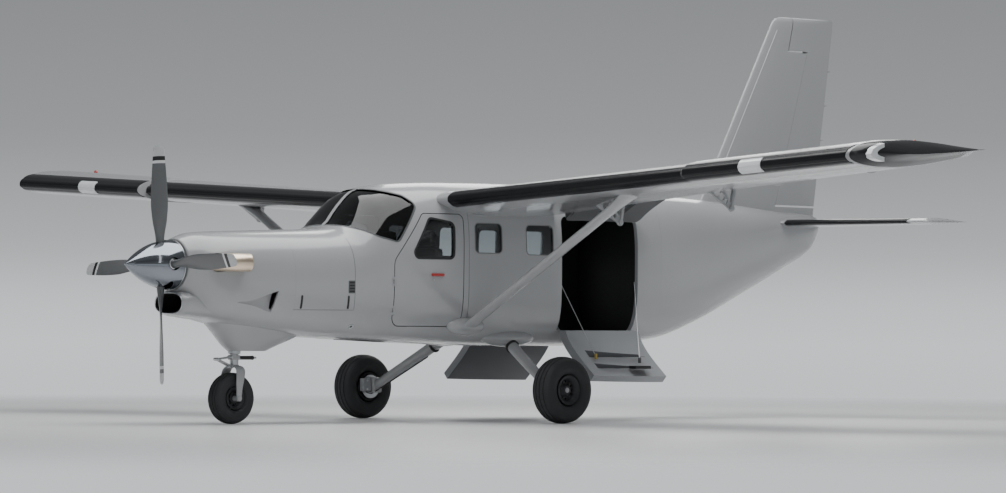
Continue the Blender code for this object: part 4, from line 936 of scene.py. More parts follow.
class BuildAirstairs(Maker, bpy.types.Operator):
    """Build the lower halves of the rear doors, let down as stairs, with their cables"""
    bl_idname = "bush_plane.airstairs"
    bl_label = "Airstairs"

    def execute(self, context):
        front, back = REAR_DOOR_FRONT + MOVING_GAP, REAR_DOOR_BACK - MOVING_GAP
        low, high = REAR_DOOR_SILL + MOVING_GAP, REAR_DOOR_SPLIT - MOVING_GAP / 2
        outline = ((front, low), (back, low), (back, high), (front, high))
        for name, side in SIDES:
            ride = f"airstair_{name}"
            joint = f"{ride}_hinge"
            # The stair's outer face is dark grey: painted shade, where the overhead light does not reach
            stair = wall_piece(outline, side, 0.0, STAIR_THICK, 0.0, look("stair_shade"), look("grey_paint"),
                               look("grey_paint"))
            swung_open(stair, joint)
            sill = REAR_DOOR_SILL - 0.002
            cut(stair, dressed(block((side * 0.3, front - 0.1, sill), (side * 1.4, back + 0.1, sill + 0.5)),
                               look("grey_paint")))
            # The step cuts' faces take the same painted shade
            for x_near, x_far, z_top, z_low in STAIR_NOTCHES:
                notch = block((side * x_near, front + STAIR_RAIL, z_low),
                              (side * x_far, back - STAIR_RAIL, z_top))
                cut(stair, dressed(notch, look("stair_shade")))
            finished(stair, f"stair_panel_{name}", ride, replaces=[ride], even=True)
            finished(self.treads(side), f"stair_treads_{name}", ride)
            self.cables(name, side)
            finished(hinge_leaves(STAIR_HINGE, side, False), f"stair_hinges_{name}", "airframe",
                     look("paint"))
            finished(swung_open(hinge_leaves(STAIR_HINGE, side, True), joint), f"stair_knuckles_{name}",
                     ride, look("paint"))
        return {"FINISHED"}

    def cables(self, name, side):
        """The two stay cables from the doorway's jambs to the stair, with their eyes and brackets."""
        for label, jamb, stair_end in CABLES:
            top = at(side * jamb[0], jamb[1], jamb[2])
            foot = at(side * stair_end[0], stair_end[1], stair_end[2])
            cable = tube([top.lerp(foot, share) for share in spread(0, 1, 40)], CABLE_RADIUS, 10)
            finished(cable, f"stair_cable_{label}_{name}", None, look("steel"))
            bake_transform(cable)
            eye = bar(top - UP * 0.014, top + UP * 0.014, 0.0040, sides=20, bevel=0.001)
            finished(eye, f"cable_eye_{label}_{name}", "airframe", look("steel"))
            low = [end_at - reach for end_at, reach in zip(stair_end, CABLE_BRACKET)]
            high = [end_at + reach for end_at, reach in zip(stair_end, CABLE_BRACKET)]
            bracket = block((side * low[0], *low[1:]), (side * high[0], *high[1:]), 0.004)
            finished(bracket, f"cable_bracket_{label}_{name}", f"airstair_{name}",
                     look("yellow") if label == "front" else look("trim"))

    def treads(self, side):
        """Ribbed grip strips on the steps, and a black block in the foot: painted shade standing for a slot.
        """
        pieces = []
        for x_near, x_far, _, z_low in STAIR_NOTCHES:
            for x in spread(x_near + 0.02, x_far - 0.03, 5):
                strip = block((side * x, REAR_DOOR_FRONT + STAIR_RAIL + 0.03, z_low - 0.001),
                              (side * (x + 0.008), REAR_DOOR_BACK - STAIR_RAIL - 0.03, z_low + 0.003),
                              0.001, 1)
                pieces.append(dressed(strip, look("black")))
        # The black block paints the shade of the slot in the stair's foot
        slot = block((side * 1.10, 6.05, 0.566), (side * 1.206, 6.28, 0.60), 0.004)
        pieces.append(dressed(slot, look("black")))
        return merged(pieces)


# Nose: cowling, exhausts, spinner and propeller

PROP_STATION = 0.465
PROP_Z = 1.63
BLADE_LENGTH = 1.22
SPINNER_RADIUS = 0.255
SPINNER_BACK = 0.60
SPINNER_WALL = 0.006
BACKPLATE = 0.015
HUB_RADIUS = 0.11
SOCKET_RADIUS = 0.05
SOCKET_END = 0.19
COWL_FRONT = 0.62
COWL_LIP = 0.018
COWL_WALL = 0.025
BLADES = 4
BLADE_TURN = 1.8

# station, half width, half height, height of the middle
INTAKE_ROWS = ((0.575, 0.225, 0.112, 1.240), (0.60, 0.245, 0.124, 1.238), (0.68, 0.262, 0.142, 1.240),
               (0.80, 0.280, 0.145, 1.228), (1.20, 0.310, 0.120, 1.17))
DUCT_ROWS = ((0.55, 0.216, 0.104, 1.240), (0.60, 0.208, 0.100, 1.240), (0.66, 0.200, 0.096, 1.240),
             (0.95, 0.150, 0.070, 1.230))
INTAKE_SQUARENESS = 2.5

# Flush side inlets: station, half height, depth below the skin
INLET_ROWS = ((1.13, 0.008, 0.003), (1.24, 0.022, 0.012), (1.36, 0.058, 0.026), (1.46, 0.096, 0.046),
              (1.55, 0.125, 0.065))
INLET_Z = 1.25
INLET_SLANT = 0.24

# Exhaust pipe: side distance, station, radius
EXHAUST_PATH = ((0.2403, 0.87, 0.085), (0.40, 0.87, 0.085), (0.475, 0.91, 0.086), (0.522, 0.98, 0.088),
                (0.548, 1.07, 0.088), (0.562, 1.17, 0.086))
EXHAUST_Z = 1.655
EXHAUST_HEIGHT_SHARE = 1.05
EXHAUST_WALL = 0.005
EXHAUST_HOLE = (0.855, 0.15, 0.135)
EXHAUST_OPENING = (0.895, 0.112, 0.098)


def oval_ring(station, half_width, half_height, z, squareness=2.0, x=0.0, count=64):
    """A ring across the fuselage with its own squareness."""
    points = []
    for i in range(count):
        turn = math.tau * (i + 0.5) / count
        across, up = math.cos(turn), math.sin(turn)
        full = abs(across / half_width) ** squareness + abs(up / half_height) ** squareness
        radius = full ** (-1 / squareness)
        points.append(at(x + radius * across, station, z + radius * up))
    return points


def smooth_rows(rows, count):
    """More rows of a table, smooth between its own."""
    table = smooth_table(rows)
    return [(place, *table(place)) for place in spread(rows[0][0], rows[-1][0], count)]


def inlet(side, grow=0.0, count=20):
    """The tapered ramp of a flush inlet in the cowling's side, deepest at its slanted aft end."""
    rings = []
    for station, half_height, depth in smooth_rows(INLET_ROWS, 20)[:count]:
        ring = oval_ring(station, depth + grow, half_height + grow, INLET_Z, 3.0,
                         side * skin_x(station, INLET_Z))
        rings.append([point + AFT * ((point.z - INLET_Z) * INLET_SLANT) for point in ring])
    return loft(rings)


def exhaust_hole(grow=0.0):
    station, half_length, half_height = EXHAUST_HOLE
    return [(station + (half_length + grow) * math.cos(math.tau * k / 48),
             EXHAUST_Z + (half_height + grow) * math.sin(math.tau * k / 48)) for k in range(48)]


def exhaust_pipe(side):
    """A thin-walled pipe that leaves the engine's side and bends aft."""
    rows = smooth_rows([(i, *row) for i, row in enumerate(EXHAUST_PATH)], 26)
    middles = [at(side * x, station, EXHAUST_Z) for _, x, station, _ in rows]
    radii = [row[3] for row in rows]

    def ring(i, wall):
        way = (middles[min(i + 1, len(rows) - 1)] - middles[max(i - 1, 0)]).normalized()
        across = way.cross(UP).normalized()
        turns = [math.tau * k / 48 for k in range(48)]
        return [middles[i] + (across * math.cos(turn) + UP * (math.sin(turn) * EXHAUST_HEIGHT_SHARE))
                * (radii[i] - wall) for turn in turns]

    rings = [ring(i, 0.0) for i in range(len(rows))]
    rings += [ring(i, EXHAUST_WALL) for i in reversed(range(6, len(rows)))]
    return loft(rings), ring(len(rows) - 1, EXHAUST_WALL / 2)


class BuildCowling(Maker, bpy.types.Operator):
    """Build the engine's cowling with its chin intake, side inlets and the holes for the exhausts"""
    bl_idname = "bush_plane.cowling"
    bl_label = "Engine cowling"

    def execute(self, context):
        paint, dark = look("paint"), look("soot")
        lip = [(COWL_FRONT + COWL_LIP * (1 - math.cos(turn)), COWL_LIP * (1 - math.sin(turn)))
               for turn in spread(0.3, math.pi / 2, 6)]
        rings = [skin_ring(station, inset) for station, inset in lip]
        first = lip[-1][0]
        rings += [skin_ring(station) for station in spread(first, FIREWALL - SEAT_GAP, 24)[1:]]
        cowl = dressed(loft(rings), paint)
        # The cowling's inside and the faces of its exhaust and shaft holes are near black: soot, and painted
        # shade in the hollows
        cut(cowl, body(COWL_FRONT + 0.04, FIREWALL + 0.05, COWL_WALL, dark))
        for _, side in SIDES:
            ramp = common(dressed(inlet(side, 0.006, 19), paint), body(COWL_FRONT, FIREWALL, 0.004, paint))
            joined(cowl, ramp)
            cut(cowl, dressed(inlet(side), paint))
            cut(cowl, dressed(side_prism(exhaust_hole(), side * 0.2, side * 0.8), dark))
        chin = loft([oval_ring(*row, INTAKE_SQUARENESS) for row in smooth_rows(INTAKE_ROWS, 22)])
        joined(cowl, dressed(chin, paint))
        duct = loft([oval_ring(*row, INTAKE_SQUARENESS) for row in smooth_rows(DUCT_ROWS, 16)])
        # The intake duct's walls are near black: painted shade deep in the intake
        cut(cowl, dressed(duct, look("soot")))
        cut(cowl, dressed(bar(at(0, 0.5, PROP_Z), at(0, 0.72, PROP_Z), 0.09, sides=48), dark))
        finished(cowl, "cowling_skin", "airframe", replaces=["engine_cowling"], even=True)
        row = INTAKE_ROWS[0]
        mouth = oval_ring(row[0] + 0.001, row[1] - 0.006, row[2] - 0.006, row[3], INTAKE_SQUARENESS)
        finished(tube(mouth, 0.0065, closed=True), "intake_lip", "airframe", look("steel"))
        finished(self.intake_screen(), "intake_screen", "airframe")
        return {"FINISHED"}

    def intake_screen(self):
        """The vanes deep in the intake."""
        pieces = []
        for x in spread(-0.13, 0.13, 5):
            pieces.append(dressed(block((x - 0.003, 0.86, 1.168), (x + 0.003, 0.90, 1.292), 0.001, 1),
                                  look("black")))
        pieces.append(dressed(block((-0.155, 0.87, 1.227), (0.155, 0.89, 1.233), 0.001, 1), look("black")))
        return merged(pieces)


class BuildExhausts(Maker, bpy.types.Operator):
    """Build the two exhaust stubs, their rolled ends and the dark ovals that they come out of"""
    bl_idname = "bush_plane.exhausts"
    bl_label = "Exhausts"

    def execute(self, context):
        for name, side in SIDES:
            pipe, mouth = exhaust_pipe(side)
            finished(pipe, f"exhaust_pipe_{name}", "airframe", look("exhaust"),
                     replaces=[f"exhaust_{name}"])
            finished(tube(mouth, 0.005, closed=True), f"exhaust_bead_{name}", "airframe",
                     look("exhaust"))
            strip = wall_piece(exhaust_hole(0.012), side, -0.002, 0.006, 0.0, look("paint"))
            station, half_length, half_height = EXHAUST_OPENING
            hole = [(station + half_length * math.cos(turn), EXHAUST_Z + half_height * math.sin(turn))
                    for turn in spread(0, math.tau * 47 / 48, 48)]
            # The opening's faces are near black: soot, and painted shade round the pipe
            cut(strip, dressed(side_prism(hole, side * 0.2, side * 0.8), look("soot")))
            finished(strip, f"exhaust_surround_{name}", "airframe")
        return {"FINISHED"}


def spinner_profile(inset, rows=44):
    """The spinner's outline as (radius, distance from the tip), drawn in by the inset."""
    tip = inset * 3
    back = SPINNER_BACK - (BACKPLATE if inset else 0)
    profile = [(0.0, tip)]
    for i in range(1, rows + 1):
        along = tip + (back - tip) * (1 - math.cos(math.pi / 2 * i / rows))
        full = SPINNER_RADIUS * (1 - (1 - (along - tip) / (SPINNER_BACK - tip)) ** 2)
        profile.append((max(full - inset, 0.0005), along))
    profile.append((0.0, back))
    return profile


def blade_ways():
    """Each blade's direction away from the axis, and the direction of its leading edge."""
    ways = []
    for blade in range(BLADES):
        turn = math.radians(BLADE_TURN + 360 / BLADES * blade)
        ways.append((Vector((-math.sin(turn), 0, math.cos(turn))),
                     Vector((-math.cos(turn), 0, -math.sin(turn)))))
    return ways


# Where each band starts as a share of the blade's length, and its colour
BLADE_BANDS = ((0.845, (0.72, 0.73, 0.74, 1)), (0.868, (0.012, 0.012, 0.013, 1)),
               (0.905, (0.55, 0.56, 0.57, 1)))

# radius from the axis, chord, thickness, twist in degrees
BLADE_ROWS = (
    (SOCKET_END + SEAT_GAP, 0.084, 0.084, 60), (0.262, 0.09, 0.075, 60), (0.34, 0.11, 0.055, 52),
    (0.45, 0.15, 0.035, 42), (0.65, 0.185, 0.024, 32), (0.85, 0.175, 0.017, 26), (1.05, 0.15, 0.012, 22),
    (1.17, 0.132, 0.009, 20), (1.205, 0.105, 0.007, 20), (1.22, 0.04, 0.003, 20),
)


class BuildPropeller(Maker, bpy.types.Operator):
    """Build the polished spinner, the hub inside it and the four blades"""
    bl_idname = "bush_plane.propeller"
    bl_label = "Propeller"

    def execute(self, context):
        middle = at(0, PROP_STATION, PROP_Z)
        axis = (0, 1, 0)
        cover = dressed(turned(spinner_profile(0.0), at(0, 0, PROP_Z), axis, 96), look("chrome"))
        # The spinner's inside and the faces of its blade holes are near black: painted shade
        cut(cover, dressed(turned(spinner_profile(SPINNER_WALL), at(0, 0, PROP_Z), axis, 96), look("soot")))
        for out, _ in blade_ways():
            hole = bar(middle + out * 0.15, middle + out * 0.30, SOCKET_RADIUS + 0.016, sides=48)
            cut(cover, dressed(hole, look("soot")))
        finished(cover, "spinner_shell", "propeller", replaces=["spinner"])
        rim = [(SPINNER_RADIUS - 0.004, SPINNER_BACK - 0.012),
               (SPINNER_RADIUS + 0.002, SPINNER_BACK - 0.010),
               (SPINNER_RADIUS + 0.002, SPINNER_BACK - 0.002), (SPINNER_RADIUS - 0.004, SPINNER_BACK)]
        finished(turned(rim, at(0, 0, PROP_Z), axis, 96, closed=True), "spinner_rim", "propeller",
                 look("steel"))
        finished(self.hub(middle), "hub_casting", "propeller", look("steel"),
                 replaces=["propeller_hub"])
        for blade, (out, round_way) in enumerate(blade_ways(), 1):
            finished(self.blade(out, round_way), f"blade_{blade}", "propeller", blade_finish(),
                     replaces=[f"propeller_blade_{blade}"])
            collar = turned([(0.046, 0.2), (0.056, 0.2), (0.058, 0.208), (0.056, 0.222), (0.046, 0.226)],
                            middle, out, 48, closed=True)
            finished(collar, f"blade_clamp_{blade}", "propeller", look("steel"))
        return {"FINISHED"}

    def hub(self, middle):
        """The hub's drum, with a stub for each blade and a ring of bolt heads."""
        front, back = 0.33, SPINNER_BACK - BACKPLATE - SEAT_GAP
        pieces = [turned([(0.0, front), (HUB_RADIUS - 0.02, front), (HUB_RADIUS, front + 0.02),
                          (HUB_RADIUS, back - 0.01), (HUB_RADIUS - 0.01, back), (0.0, back)],
                         at(0, 0, PROP_Z), (0, 1, 0), 64)]
        for out, _ in blade_ways():
            pieces.append(bar(middle + out * 0.05, middle + out * SOCKET_END, SOCKET_RADIUS, bevel=0.004))
        for k in range(8):
            turn = math.tau * k / 8
            spot = at(0.08 * math.cos(turn), front - 0.006, PROP_Z + 0.08 * math.sin(turn))
            pieces.append(bar(spot, spot + Vector((0, 0.01, 0)), 0.008, sides=6))
        return merged(pieces)

    def blade(self, out, round_way):
        rings = []
        rows = smooth_table(BLADE_ROWS)
        start, end = BLADE_ROWS[0][0], BLADE_ROWS[-1][0]
        places = spread(start, 1.17, 36) + [1.18, 1.19, 1.20, 1.208, 1.214, 1.218, end]
        for radius in places:
            chord, thick, twist = rows(radius)
            angle = math.radians(twist)
            chord_way = round_way * math.cos(angle) - AFT * math.sin(angle)
            thick_way = out.cross(chord_way)
            flat = min(max((chord / thick - 1) / 4, 0), 1)
            ring = []
            for i in range(40):
                spoke = math.tau * i / 40
                along, across = math.cos(spoke), math.sin(spoke)
                across *= 1 - flat * 0.35 * (1 - along) / 2
                ring.append(at(0, PROP_STATION, PROP_Z) + out * radius + chord_way * chord / 2 * along
                            + thick_way * thick / 2 * across)
            rings.append(ring)
        return loft(rings)


# Wing

AEROFOIL = ((0.0, 0.0), (0.012, 0.022), (0.05, 0.043), (0.12, 0.062), (0.25, 0.077), (0.40, 0.079),
            (0.60, 0.064), (0.75, 0.044), (0.90, 0.020), (1.0, 0.002))
half_thickness = smooth_table([(math.sqrt(share), half) for share, half in AEROFOIL])
UPPER_SHARE = 1.15
LOWER_SHARE = 0.85
WING_FRONT = 3.69
WING_BACK = 5.31
ROOT_X = 0.90
ROOT_FRONT_Z = 2.36
ROOT_BACK_Z = 2.24
FRONT_RISE = 0.053
BACK_RISE = 0.082
CUFF_X = 4.36
CUFF_REACH = 0.11
TIP_X = 6.60

# side distance, share of the chord cut from the front, thickness, rise of the front, rise of the back
TIP_ROWS = ((6.60, 0.0, 1.0, 0.0, 0.0), (6.67, 0.045, 0.90, 0.016, 0.030), (6.74, 0.12, 0.736, 0.03, 0.055),
            (6.79, 0.19, 0.56, 0.03, 0.06), (6.83, 0.265, 0.38, 0.03, 0.06), (6.86, 0.34, 0.15, 0.03, 0.06))
FLAP_X = (0.80, 4.16)
AILERON_X = (4.20, 6.42)
HINGE_SHARE = 0.74
SURFACE_NOSE = 0.095
FLAP_DROP = 0.25
FLAP_BRACKET_X = (2.13, 3.76)
PIN_RADIUS = 0.02
PIN_HOLE = 0.0206
BRACKET_HALF = 0.011


def wing_row(x):
    """Front station, back station, front height and back height of the wing at a side distance."""
    front = WING_FRONT - (CUFF_REACH if x >= CUFF_X else 0)
    rise = x - ROOT_X
    return front, WING_BACK, ROOT_FRONT_Z + FRONT_RISE * rise, ROOT_BACK_Z + BACK_RISE * rise


def aerofoil_point(x, row, share, way, thickness=1.0, lift=0.0):
    """A point on a wing-like surface: way is 1 on top and -1 below, and a lift stands off the skin."""
    front, back, front_z, back_z = row
    chord = back - front
    side_share = UPPER_SHARE if way > 0 else LOWER_SHARE
    half = half_thickness(math.sqrt(share))[0] * chord * thickness * side_share
    point = at(x, front + chord * share, front_z + (back_z - front_z) * share + way * half)
    if lift:
        step = 0.002
        ahead = half_thickness(math.sqrt(share + step))[0] * chord * thickness
        slope = (ahead * side_share - half) / (step * chord)
        point += Vector((0, -slope, way)).normalized() * lift
    return point


def aerofoil_ring(x, row, side, thickness=1.0, count=34):
    """One ring of a wing-like surface, over the top from back to front and back below."""
    shares = [(1 - math.cos(math.pi * i / count)) / 2 for i in range(count + 1)]
    ring = [aerofoil_point(side * x, row, share, 1, thickness) for share in reversed(shares)]
    return ring + [aerofoil_point(side * x, row, share, -1, thickness) for share in shares[1:]]


def wing_solid(side, finish=None):
    rings = [aerofoil_ring(x, wing_row(x), side) for x in (0.40, 2.0, CUFF_X - 0.004, CUFF_X, 5.5)]
    front, back, front_z, back_z = wing_row(TIP_X)
    for x, share, thick, front_rise, back_rise in smooth_rows(TIP_ROWS, 14):
        row = (front + (back - front) * share, back, front_z + front_rise, back_z + back_rise)
        rings.append(aerofoil_ring(x, row, side, thick))
    return dressed(loft(rings), finish)


def hinge_point(x, side):
    """The middle of a wing surface's round nose, at a distance from the middle of the aircraft."""
    _, back, front_z, back_z = wing_row(x)
    return at(side * x, WING_FRONT + (back - WING_FRONT) * HINGE_SHARE,
              front_z + (back_z - front_z) * HINGE_SHARE)


def hinged_room(ends, radii, aft=AFT, reach=0.8, spread_out=0.3, steps=24):
    """A round nose along the line between two points, and all that lies behind it."""
    axis = (ends[1] - ends[0]).normalized()
    across = axis.cross(aft).normalized()
    rings = []
    for middle, radius in zip(ends, radii):
        turns = [math.pi * (0.5 + i / steps) for i in range(steps + 1)]
        ring = [middle + (aft * math.cos(turn) + across * math.sin(turn)) * radius for turn in turns]
        ring.append(middle + aft * reach - across * spread_out)
        ring.append(middle + aft * reach + across * spread_out)
        rings.append(ring)
    return loft(rings)


def flap_ways(side):
    """The direction along the flap's hinge line, and the way up that is square to it."""
    axis = (hinge_point(FLAP_X[1], side) - hinge_point(FLAP_X[0], side)).normalized()
    return axis, Vector((-side * axis.z, 0, abs(axis.x)))


def end_pins(ends, gap):
    """A pin at each end of a moving surface, as long as the gap that it crosses."""
    axis = (ends[1] - ends[0]).normalized()
    return [bar(end - way * 0.02, end + way * (gap - SEAT_GAP), PIN_RADIUS)
            for end, way in ((ends[0], -axis), (ends[1], axis))]


class BuildWings(Maker, bpy.types.Operator):
    """Build the wings with their dark tips, hinge trusses and lights"""
    bl_idname = "bush_plane.wings"
    bl_label = "Wings"

    def execute(self, context):
        for name, side in SIDES:
            wing = wing_solid(side, look("paint"))
            for x_range in (FLAP_X, AILERON_X):
                ends = [hinge_point(x, side) for x in x_range]
                cut(wing, dressed(hinged_room(ends, [SURFACE_NOSE + MOVING_GAP] * 2), look("trim")))
            cut(wing, body(WING_FRONT - 1.2, WING_BACK + 0.6, -SEAT_GAP))
            wing.data.materials.append(look("dark_tip"))
            dark = len(wing.data.materials) - 1
            for face in wing.data.polygons:
                if abs(face.center.x) > TIP_X + 0.015 and face.center.y < at(0, 5.2, 0).y:
                    face.material_index = dark
            finished(wing, f"wing_skin_{name}", "airframe", replaces=[f"wing_{name}"],
                     even=True)
            finished(self.trusses(side), f"flap_truss_{name}", "airframe", look("paint"))
            self.fairings(name, side)
            self.lights(name, side)
        return {"FINISHED"}

    def trusses(self, side):
        """The open V-shaped hinge brackets below the wing, with a round hole in each plate."""
        axis, up = flap_ways(side)
        pieces = []
        for x in FLAP_BRACKET_X:
            above = hinge_point(x, side)
            place = above - up * FLAP_DROP
            front = above - up * 0.05 - Vector((0, 0.36, 0))
            back = above - up * 0.02 - Vector((0, 0.13, 0))
            corners = [front - AFT * 0.02, back + AFT * 0.012, place + AFT * 0.03 - up * 0.01,
                       place - up * 0.034, place - AFT * 0.03 - up * 0.012]
            plate = loft([[corner + axis * reach for corner in corners]
                          for reach in (-BRACKET_HALF * 0.9, BRACKET_HALF * 0.9)])
            for share_in, share_down, radius in ((0.5, 0.20, 0.052), (0.5, 0.46, 0.038), (0.5, 0.68, 0.024)):
                spot = front.lerp(back, share_in).lerp(place, share_down)
                cut(plate, bar(spot - axis * 0.05, spot + axis * 0.05, radius, sides=40))
            joined(plate, bar(place - axis * BRACKET_HALF, place + axis * BRACKET_HALF, 0.036, sides=40))
            cut(plate, bar(place - axis * 0.05, place + axis * 0.05, PIN_HOLE, sides=40))
            modified(plate, "BEVEL", width=0.0015, segments=1, limit_method="ANGLE")
            pieces.append(plate)
        return merged(pieces)

    def fairings(self, name, side):
        """The small teardrop fairings over the aileron's hinges."""
        pieces = []
        for x in (4.64, 5.90):
            spot = hinge_point(x, side)
            pieces.append(ball(spot + Vector((0, -0.21, -0.065)), (0.020, 0.10, 0.040), 32))
        finished(merged(pieces), f"aileron_fairing_{name}", "airframe", look("paint"))

    def lights(self, name, side):
        """The lens in the wing's tip, the pale lamp lens in its leading edge and the small light on top."""
        front, back, front_z, back_z = wing_row(TIP_X)
        tip_row = (front + (back - front) * 0.085, back, front_z + 0.02, back_z + 0.03)
        shares = spread(0.0, 0.12, 8)
        rings = []
        for x, inset in ((6.63, 0.0), (6.68, 0.0), (6.73, 0.012), (6.765, 0.03)):
            row = (tip_row[0] + inset, *tip_row[1:])
            ring = [aerofoil_point(side * x, row, share, 1, 0.86, 0.004) for share in reversed(shares)]
            rings.append(ring + [aerofoil_point(side * x, row, share, -1, 0.86,
                                                0.004) for share in shares[1:]])
        finished(loft(rings), f"tip_lens_{name}", "airframe", look("lens"))
        rings = []
        for x in spread(5.16, 5.46, 6):
            row = wing_row(x)
            low, high = spread(0.0, 0.035, 7), spread(0.0, 0.028, 7)
            ring = [aerofoil_point(side * x, row, share, 1, 1, 0.013) for share in reversed(high)]
            rings.append(ring + [aerofoil_point(side * x, row, share, -1, 1, 0.013) for share in low[1:]])
        finished(loft(rings), f"lamp_lens_{name}", "airframe", look("lens"))
        row = wing_row(6.5)
        spot = aerofoil_point(side * 6.52, row, (4.64 - row[0]) / (row[1] - row[0]), 1, 1)
        base = turned([(0.0, -0.01), (0.03, -0.01), (0.03, 0.006), (0.024, 0.01), (0.0, 0.01)], spot, UP, 40)
        dome = turned([(0.0, 0.008), (0.022, 0.008), (0.022, 0.02), (0.018, 0.034), (0.01, 0.043),
                       (0.0, 0.046)], spot, UP, 40)
        finished(merged([dressed(base, look("steel")), dressed(dome, look("red"))]), f"wing_light_{name}",
                 "airframe")


BOOT_START_X = 0.78


class BuildBoots(Maker, bpy.types.Operator):
    """Build the black inflatable boots on the leading edges of the wings"""
    bl_idname = "bush_plane.boots"
    bl_label = "Wing boots"

    def execute(self, context):
        for name, side in SIDES:
            pieces = [leading_boot(side, wing_row, x_range, 0.105, 0.075)
                      for x_range in ((BOOT_START_X, CUFF_X - 0.02), (CUFF_X + 0.012, TIP_X - 0.01))]
            boot = cut(merged(pieces), body(WING_FRONT - 1.2, WING_BACK, -SEAT_GAP))
            finished(boot, f"wing_boot_{name}", "airframe", look("boot"))
        return {"FINISHED"}


def leading_boot(side, row_at, x_range, top_share, low_share, thickness=1.0, tubes=4, stations=10):
    """A ribbed rubber strip round a leading edge, from one side distance to another."""
    height = settings("sizes").boot_height
    steps = tubes * 8
    rings = []
    for x in spread(*x_range, stations):
        outer, inner = [], []
        for i in range(steps + 1):
            part = i / steps * 2 - 1
            way = 1 if part >= 0 else -1
            share = (top_share if way > 0 else low_share) * part * part
            edge = min((1 - abs(part)) * 6, 1.0)
            bulge = abs(math.sin(math.pi * tubes * i / steps)) ** 0.6
            lift = 0.0012 + height * edge * (0.25 + 0.75 * bulge)
            outer.append(aerofoil_point(side * x, row_at(x), share, way, thickness, lift))
            inner.append(aerofoil_point(side * x, row_at(x), share, way, thickness, -0.001))
        rings.append(outer + inner[::-1])
    return loft(rings)


class BuildWingSurfaces(Maker, bpy.types.Operator):
    """Build the flaps with their hinge arms, and the ailerons"""
    bl_idname = "bush_plane.wing_surfaces"
    bl_label = "Flaps and ailerons"

    def execute(self, context):
        for name, side in SIDES:
            for label, x_range in (("flap", FLAP_X), ("aileron", AILERON_X)):
                ends = [hinge_point(x, side) for x in (x_range[0] + MOVING_GAP, x_range[1] - MOVING_GAP)]
                piece = common(wing_solid(side, look("paint")),
                               dressed(hinged_room(ends, [SURFACE_NOSE] * 2), look("paint")))
                if label == "flap":
                    extra = self.arms(side)
                else:
                    extra = end_pins(ends, (hinge_point(x_range[1], side) - ends[1]).length)
                for part in extra:
                    dressed(part, look("paint"))
                ride = f"{label}_{name}"
                finished(piece, f"{ride}_skin", ride, replaces=[ride], even=True)
                finished(merged(extra), f"{ride}_fittings", ride)
        return {"FINISHED"}

    def arms(self, side):
        """The flap's two arms at each bracket, with the pin that joins them."""
        axis, up = flap_ways(side)
        pieces = []
        for x in FLAP_BRACKET_X:
            place = hinge_point(x, side) - up * FLAP_DROP
            for way in (1, -1):
                near = place + axis * way * (BRACKET_HALF + SEAT_GAP)
                far = place + axis * way * (BRACKET_HALF + 0.012)
                middle = (near + far) / 2
                width = (far - near).length - 4 * SEAT_GAP
                pieces.append(slab(middle, middle + up * 0.225 + Vector((0, 0.06, 0)), axis, width, 0.034,
                                   0.002))
                pieces.append(bar(near, far, 0.030, bevel=0.002))
            pin = axis * (BRACKET_HALF + 0.006)
            pieces.append(bar(place - pin, place + pin, PIN_RADIUS))
        return pieces


STRUT_FOOT = (0.60, 4.08, 0.97)
STRUT_HEAD = (3.15, 4.15, 2.42)

# share of the length, chord, thickness
STRUT_ROWS = ((0.0, 0.27, 0.085), (0.05, 0.21, 0.075), (0.10, 0.18, 0.07), (0.86, 0.18, 0.07),
              (0.92, 0.22, 0.072), (0.97, 0.32, 0.075), (1.0, 0.40, 0.078))


class BuildStruts(Maker, bpy.types.Operator):
    """Build the wing struts, flared where they meet the wing and faired at the foot"""
    bl_idname = "bush_plane.struts"
    bl_label = "Wing struts"

    def execute(self, context):
        for name, side in SIDES:
            foot, head = at(*STRUT_FOOT), at(*STRUT_HEAD)
            way = (head - foot).normalized()
            thick_way = way.cross(AFT).normalized()
            rings = []
            for share, chord, thick in smooth_rows(STRUT_ROWS, 48):
                middle = foot.lerp(head, share)
                ring = []
                for i in range(48):
                    turn = math.tau * i / 48
                    along, across = math.cos(turn), math.sin(turn)
                    across *= 1 - 0.25 * max(along, 0) ** 2
                    ring.append(middle + AFT * chord / 2 * along + thick_way * thick / 2 * across)
                rings.append(ring)
            strut = loft(rings)
            cut(strut, body(3.0, 5.2, -SEAT_GAP))
            keep_out = wing_solid(1)
            keep_out.data.transform(Matrix.Translation((0, 0, -SEAT_GAP)))
            cut(strut, keep_out)
            blister = ball(at(0.655, 4.06, 1.02), (0.088, 0.26, 0.10), 64)
            cut(blister, body(3.0, 5.2, -SEAT_GAP))
            for piece in (strut, blister):
                to_side(piece, side)
            finished(strut, f"strut_{name}", "airframe", look("paint"),
                     replaces=[f"wing_strut_{name}"], even=True)
            finished(blister, f"strut_blister_{name}", "airframe", look("paint"))
        return {"FINISHED"}


# Tail

# front station, back station, height, thickness share
FIN_ROWS = ((8.14, 10.08, 2.30, 0.62), (9.36, 10.40, 4.48, 0.62), (9.40, 10.405, 4.545, 0.58),
            (9.45, 10.41, 4.583, 0.42), (9.51, 10.40, 4.597, 0.22), (9.56, 10.38, 4.60, 0.08))
FIN_LOW_Z = 2.40
FIN_STRIP = 0.10
RUDDER_HINGE = ((9.421, 2.40), (9.955, 4.15))
RUDDER_BOTTOM = 2.43
RUDDER_GAP = 0.02
HORN_Z = 4.215
HORN_FRONT = ((9.62, 4.205), (9.75, 4.70))
TAIL_END = 10.12
TAIL_Z = 2.215
TAIL_ROOT = (9.20, 10.18)
TAIL_TIP = (9.46, 10.16)
TAIL_HALF_SPAN = 2.33
TAIL_THICKNESS = 0.62
ELEVATOR_X = (0.20, 2.02)
ELEVATOR_HINGE = 9.83
ELEVATOR_NOSE = 0.046


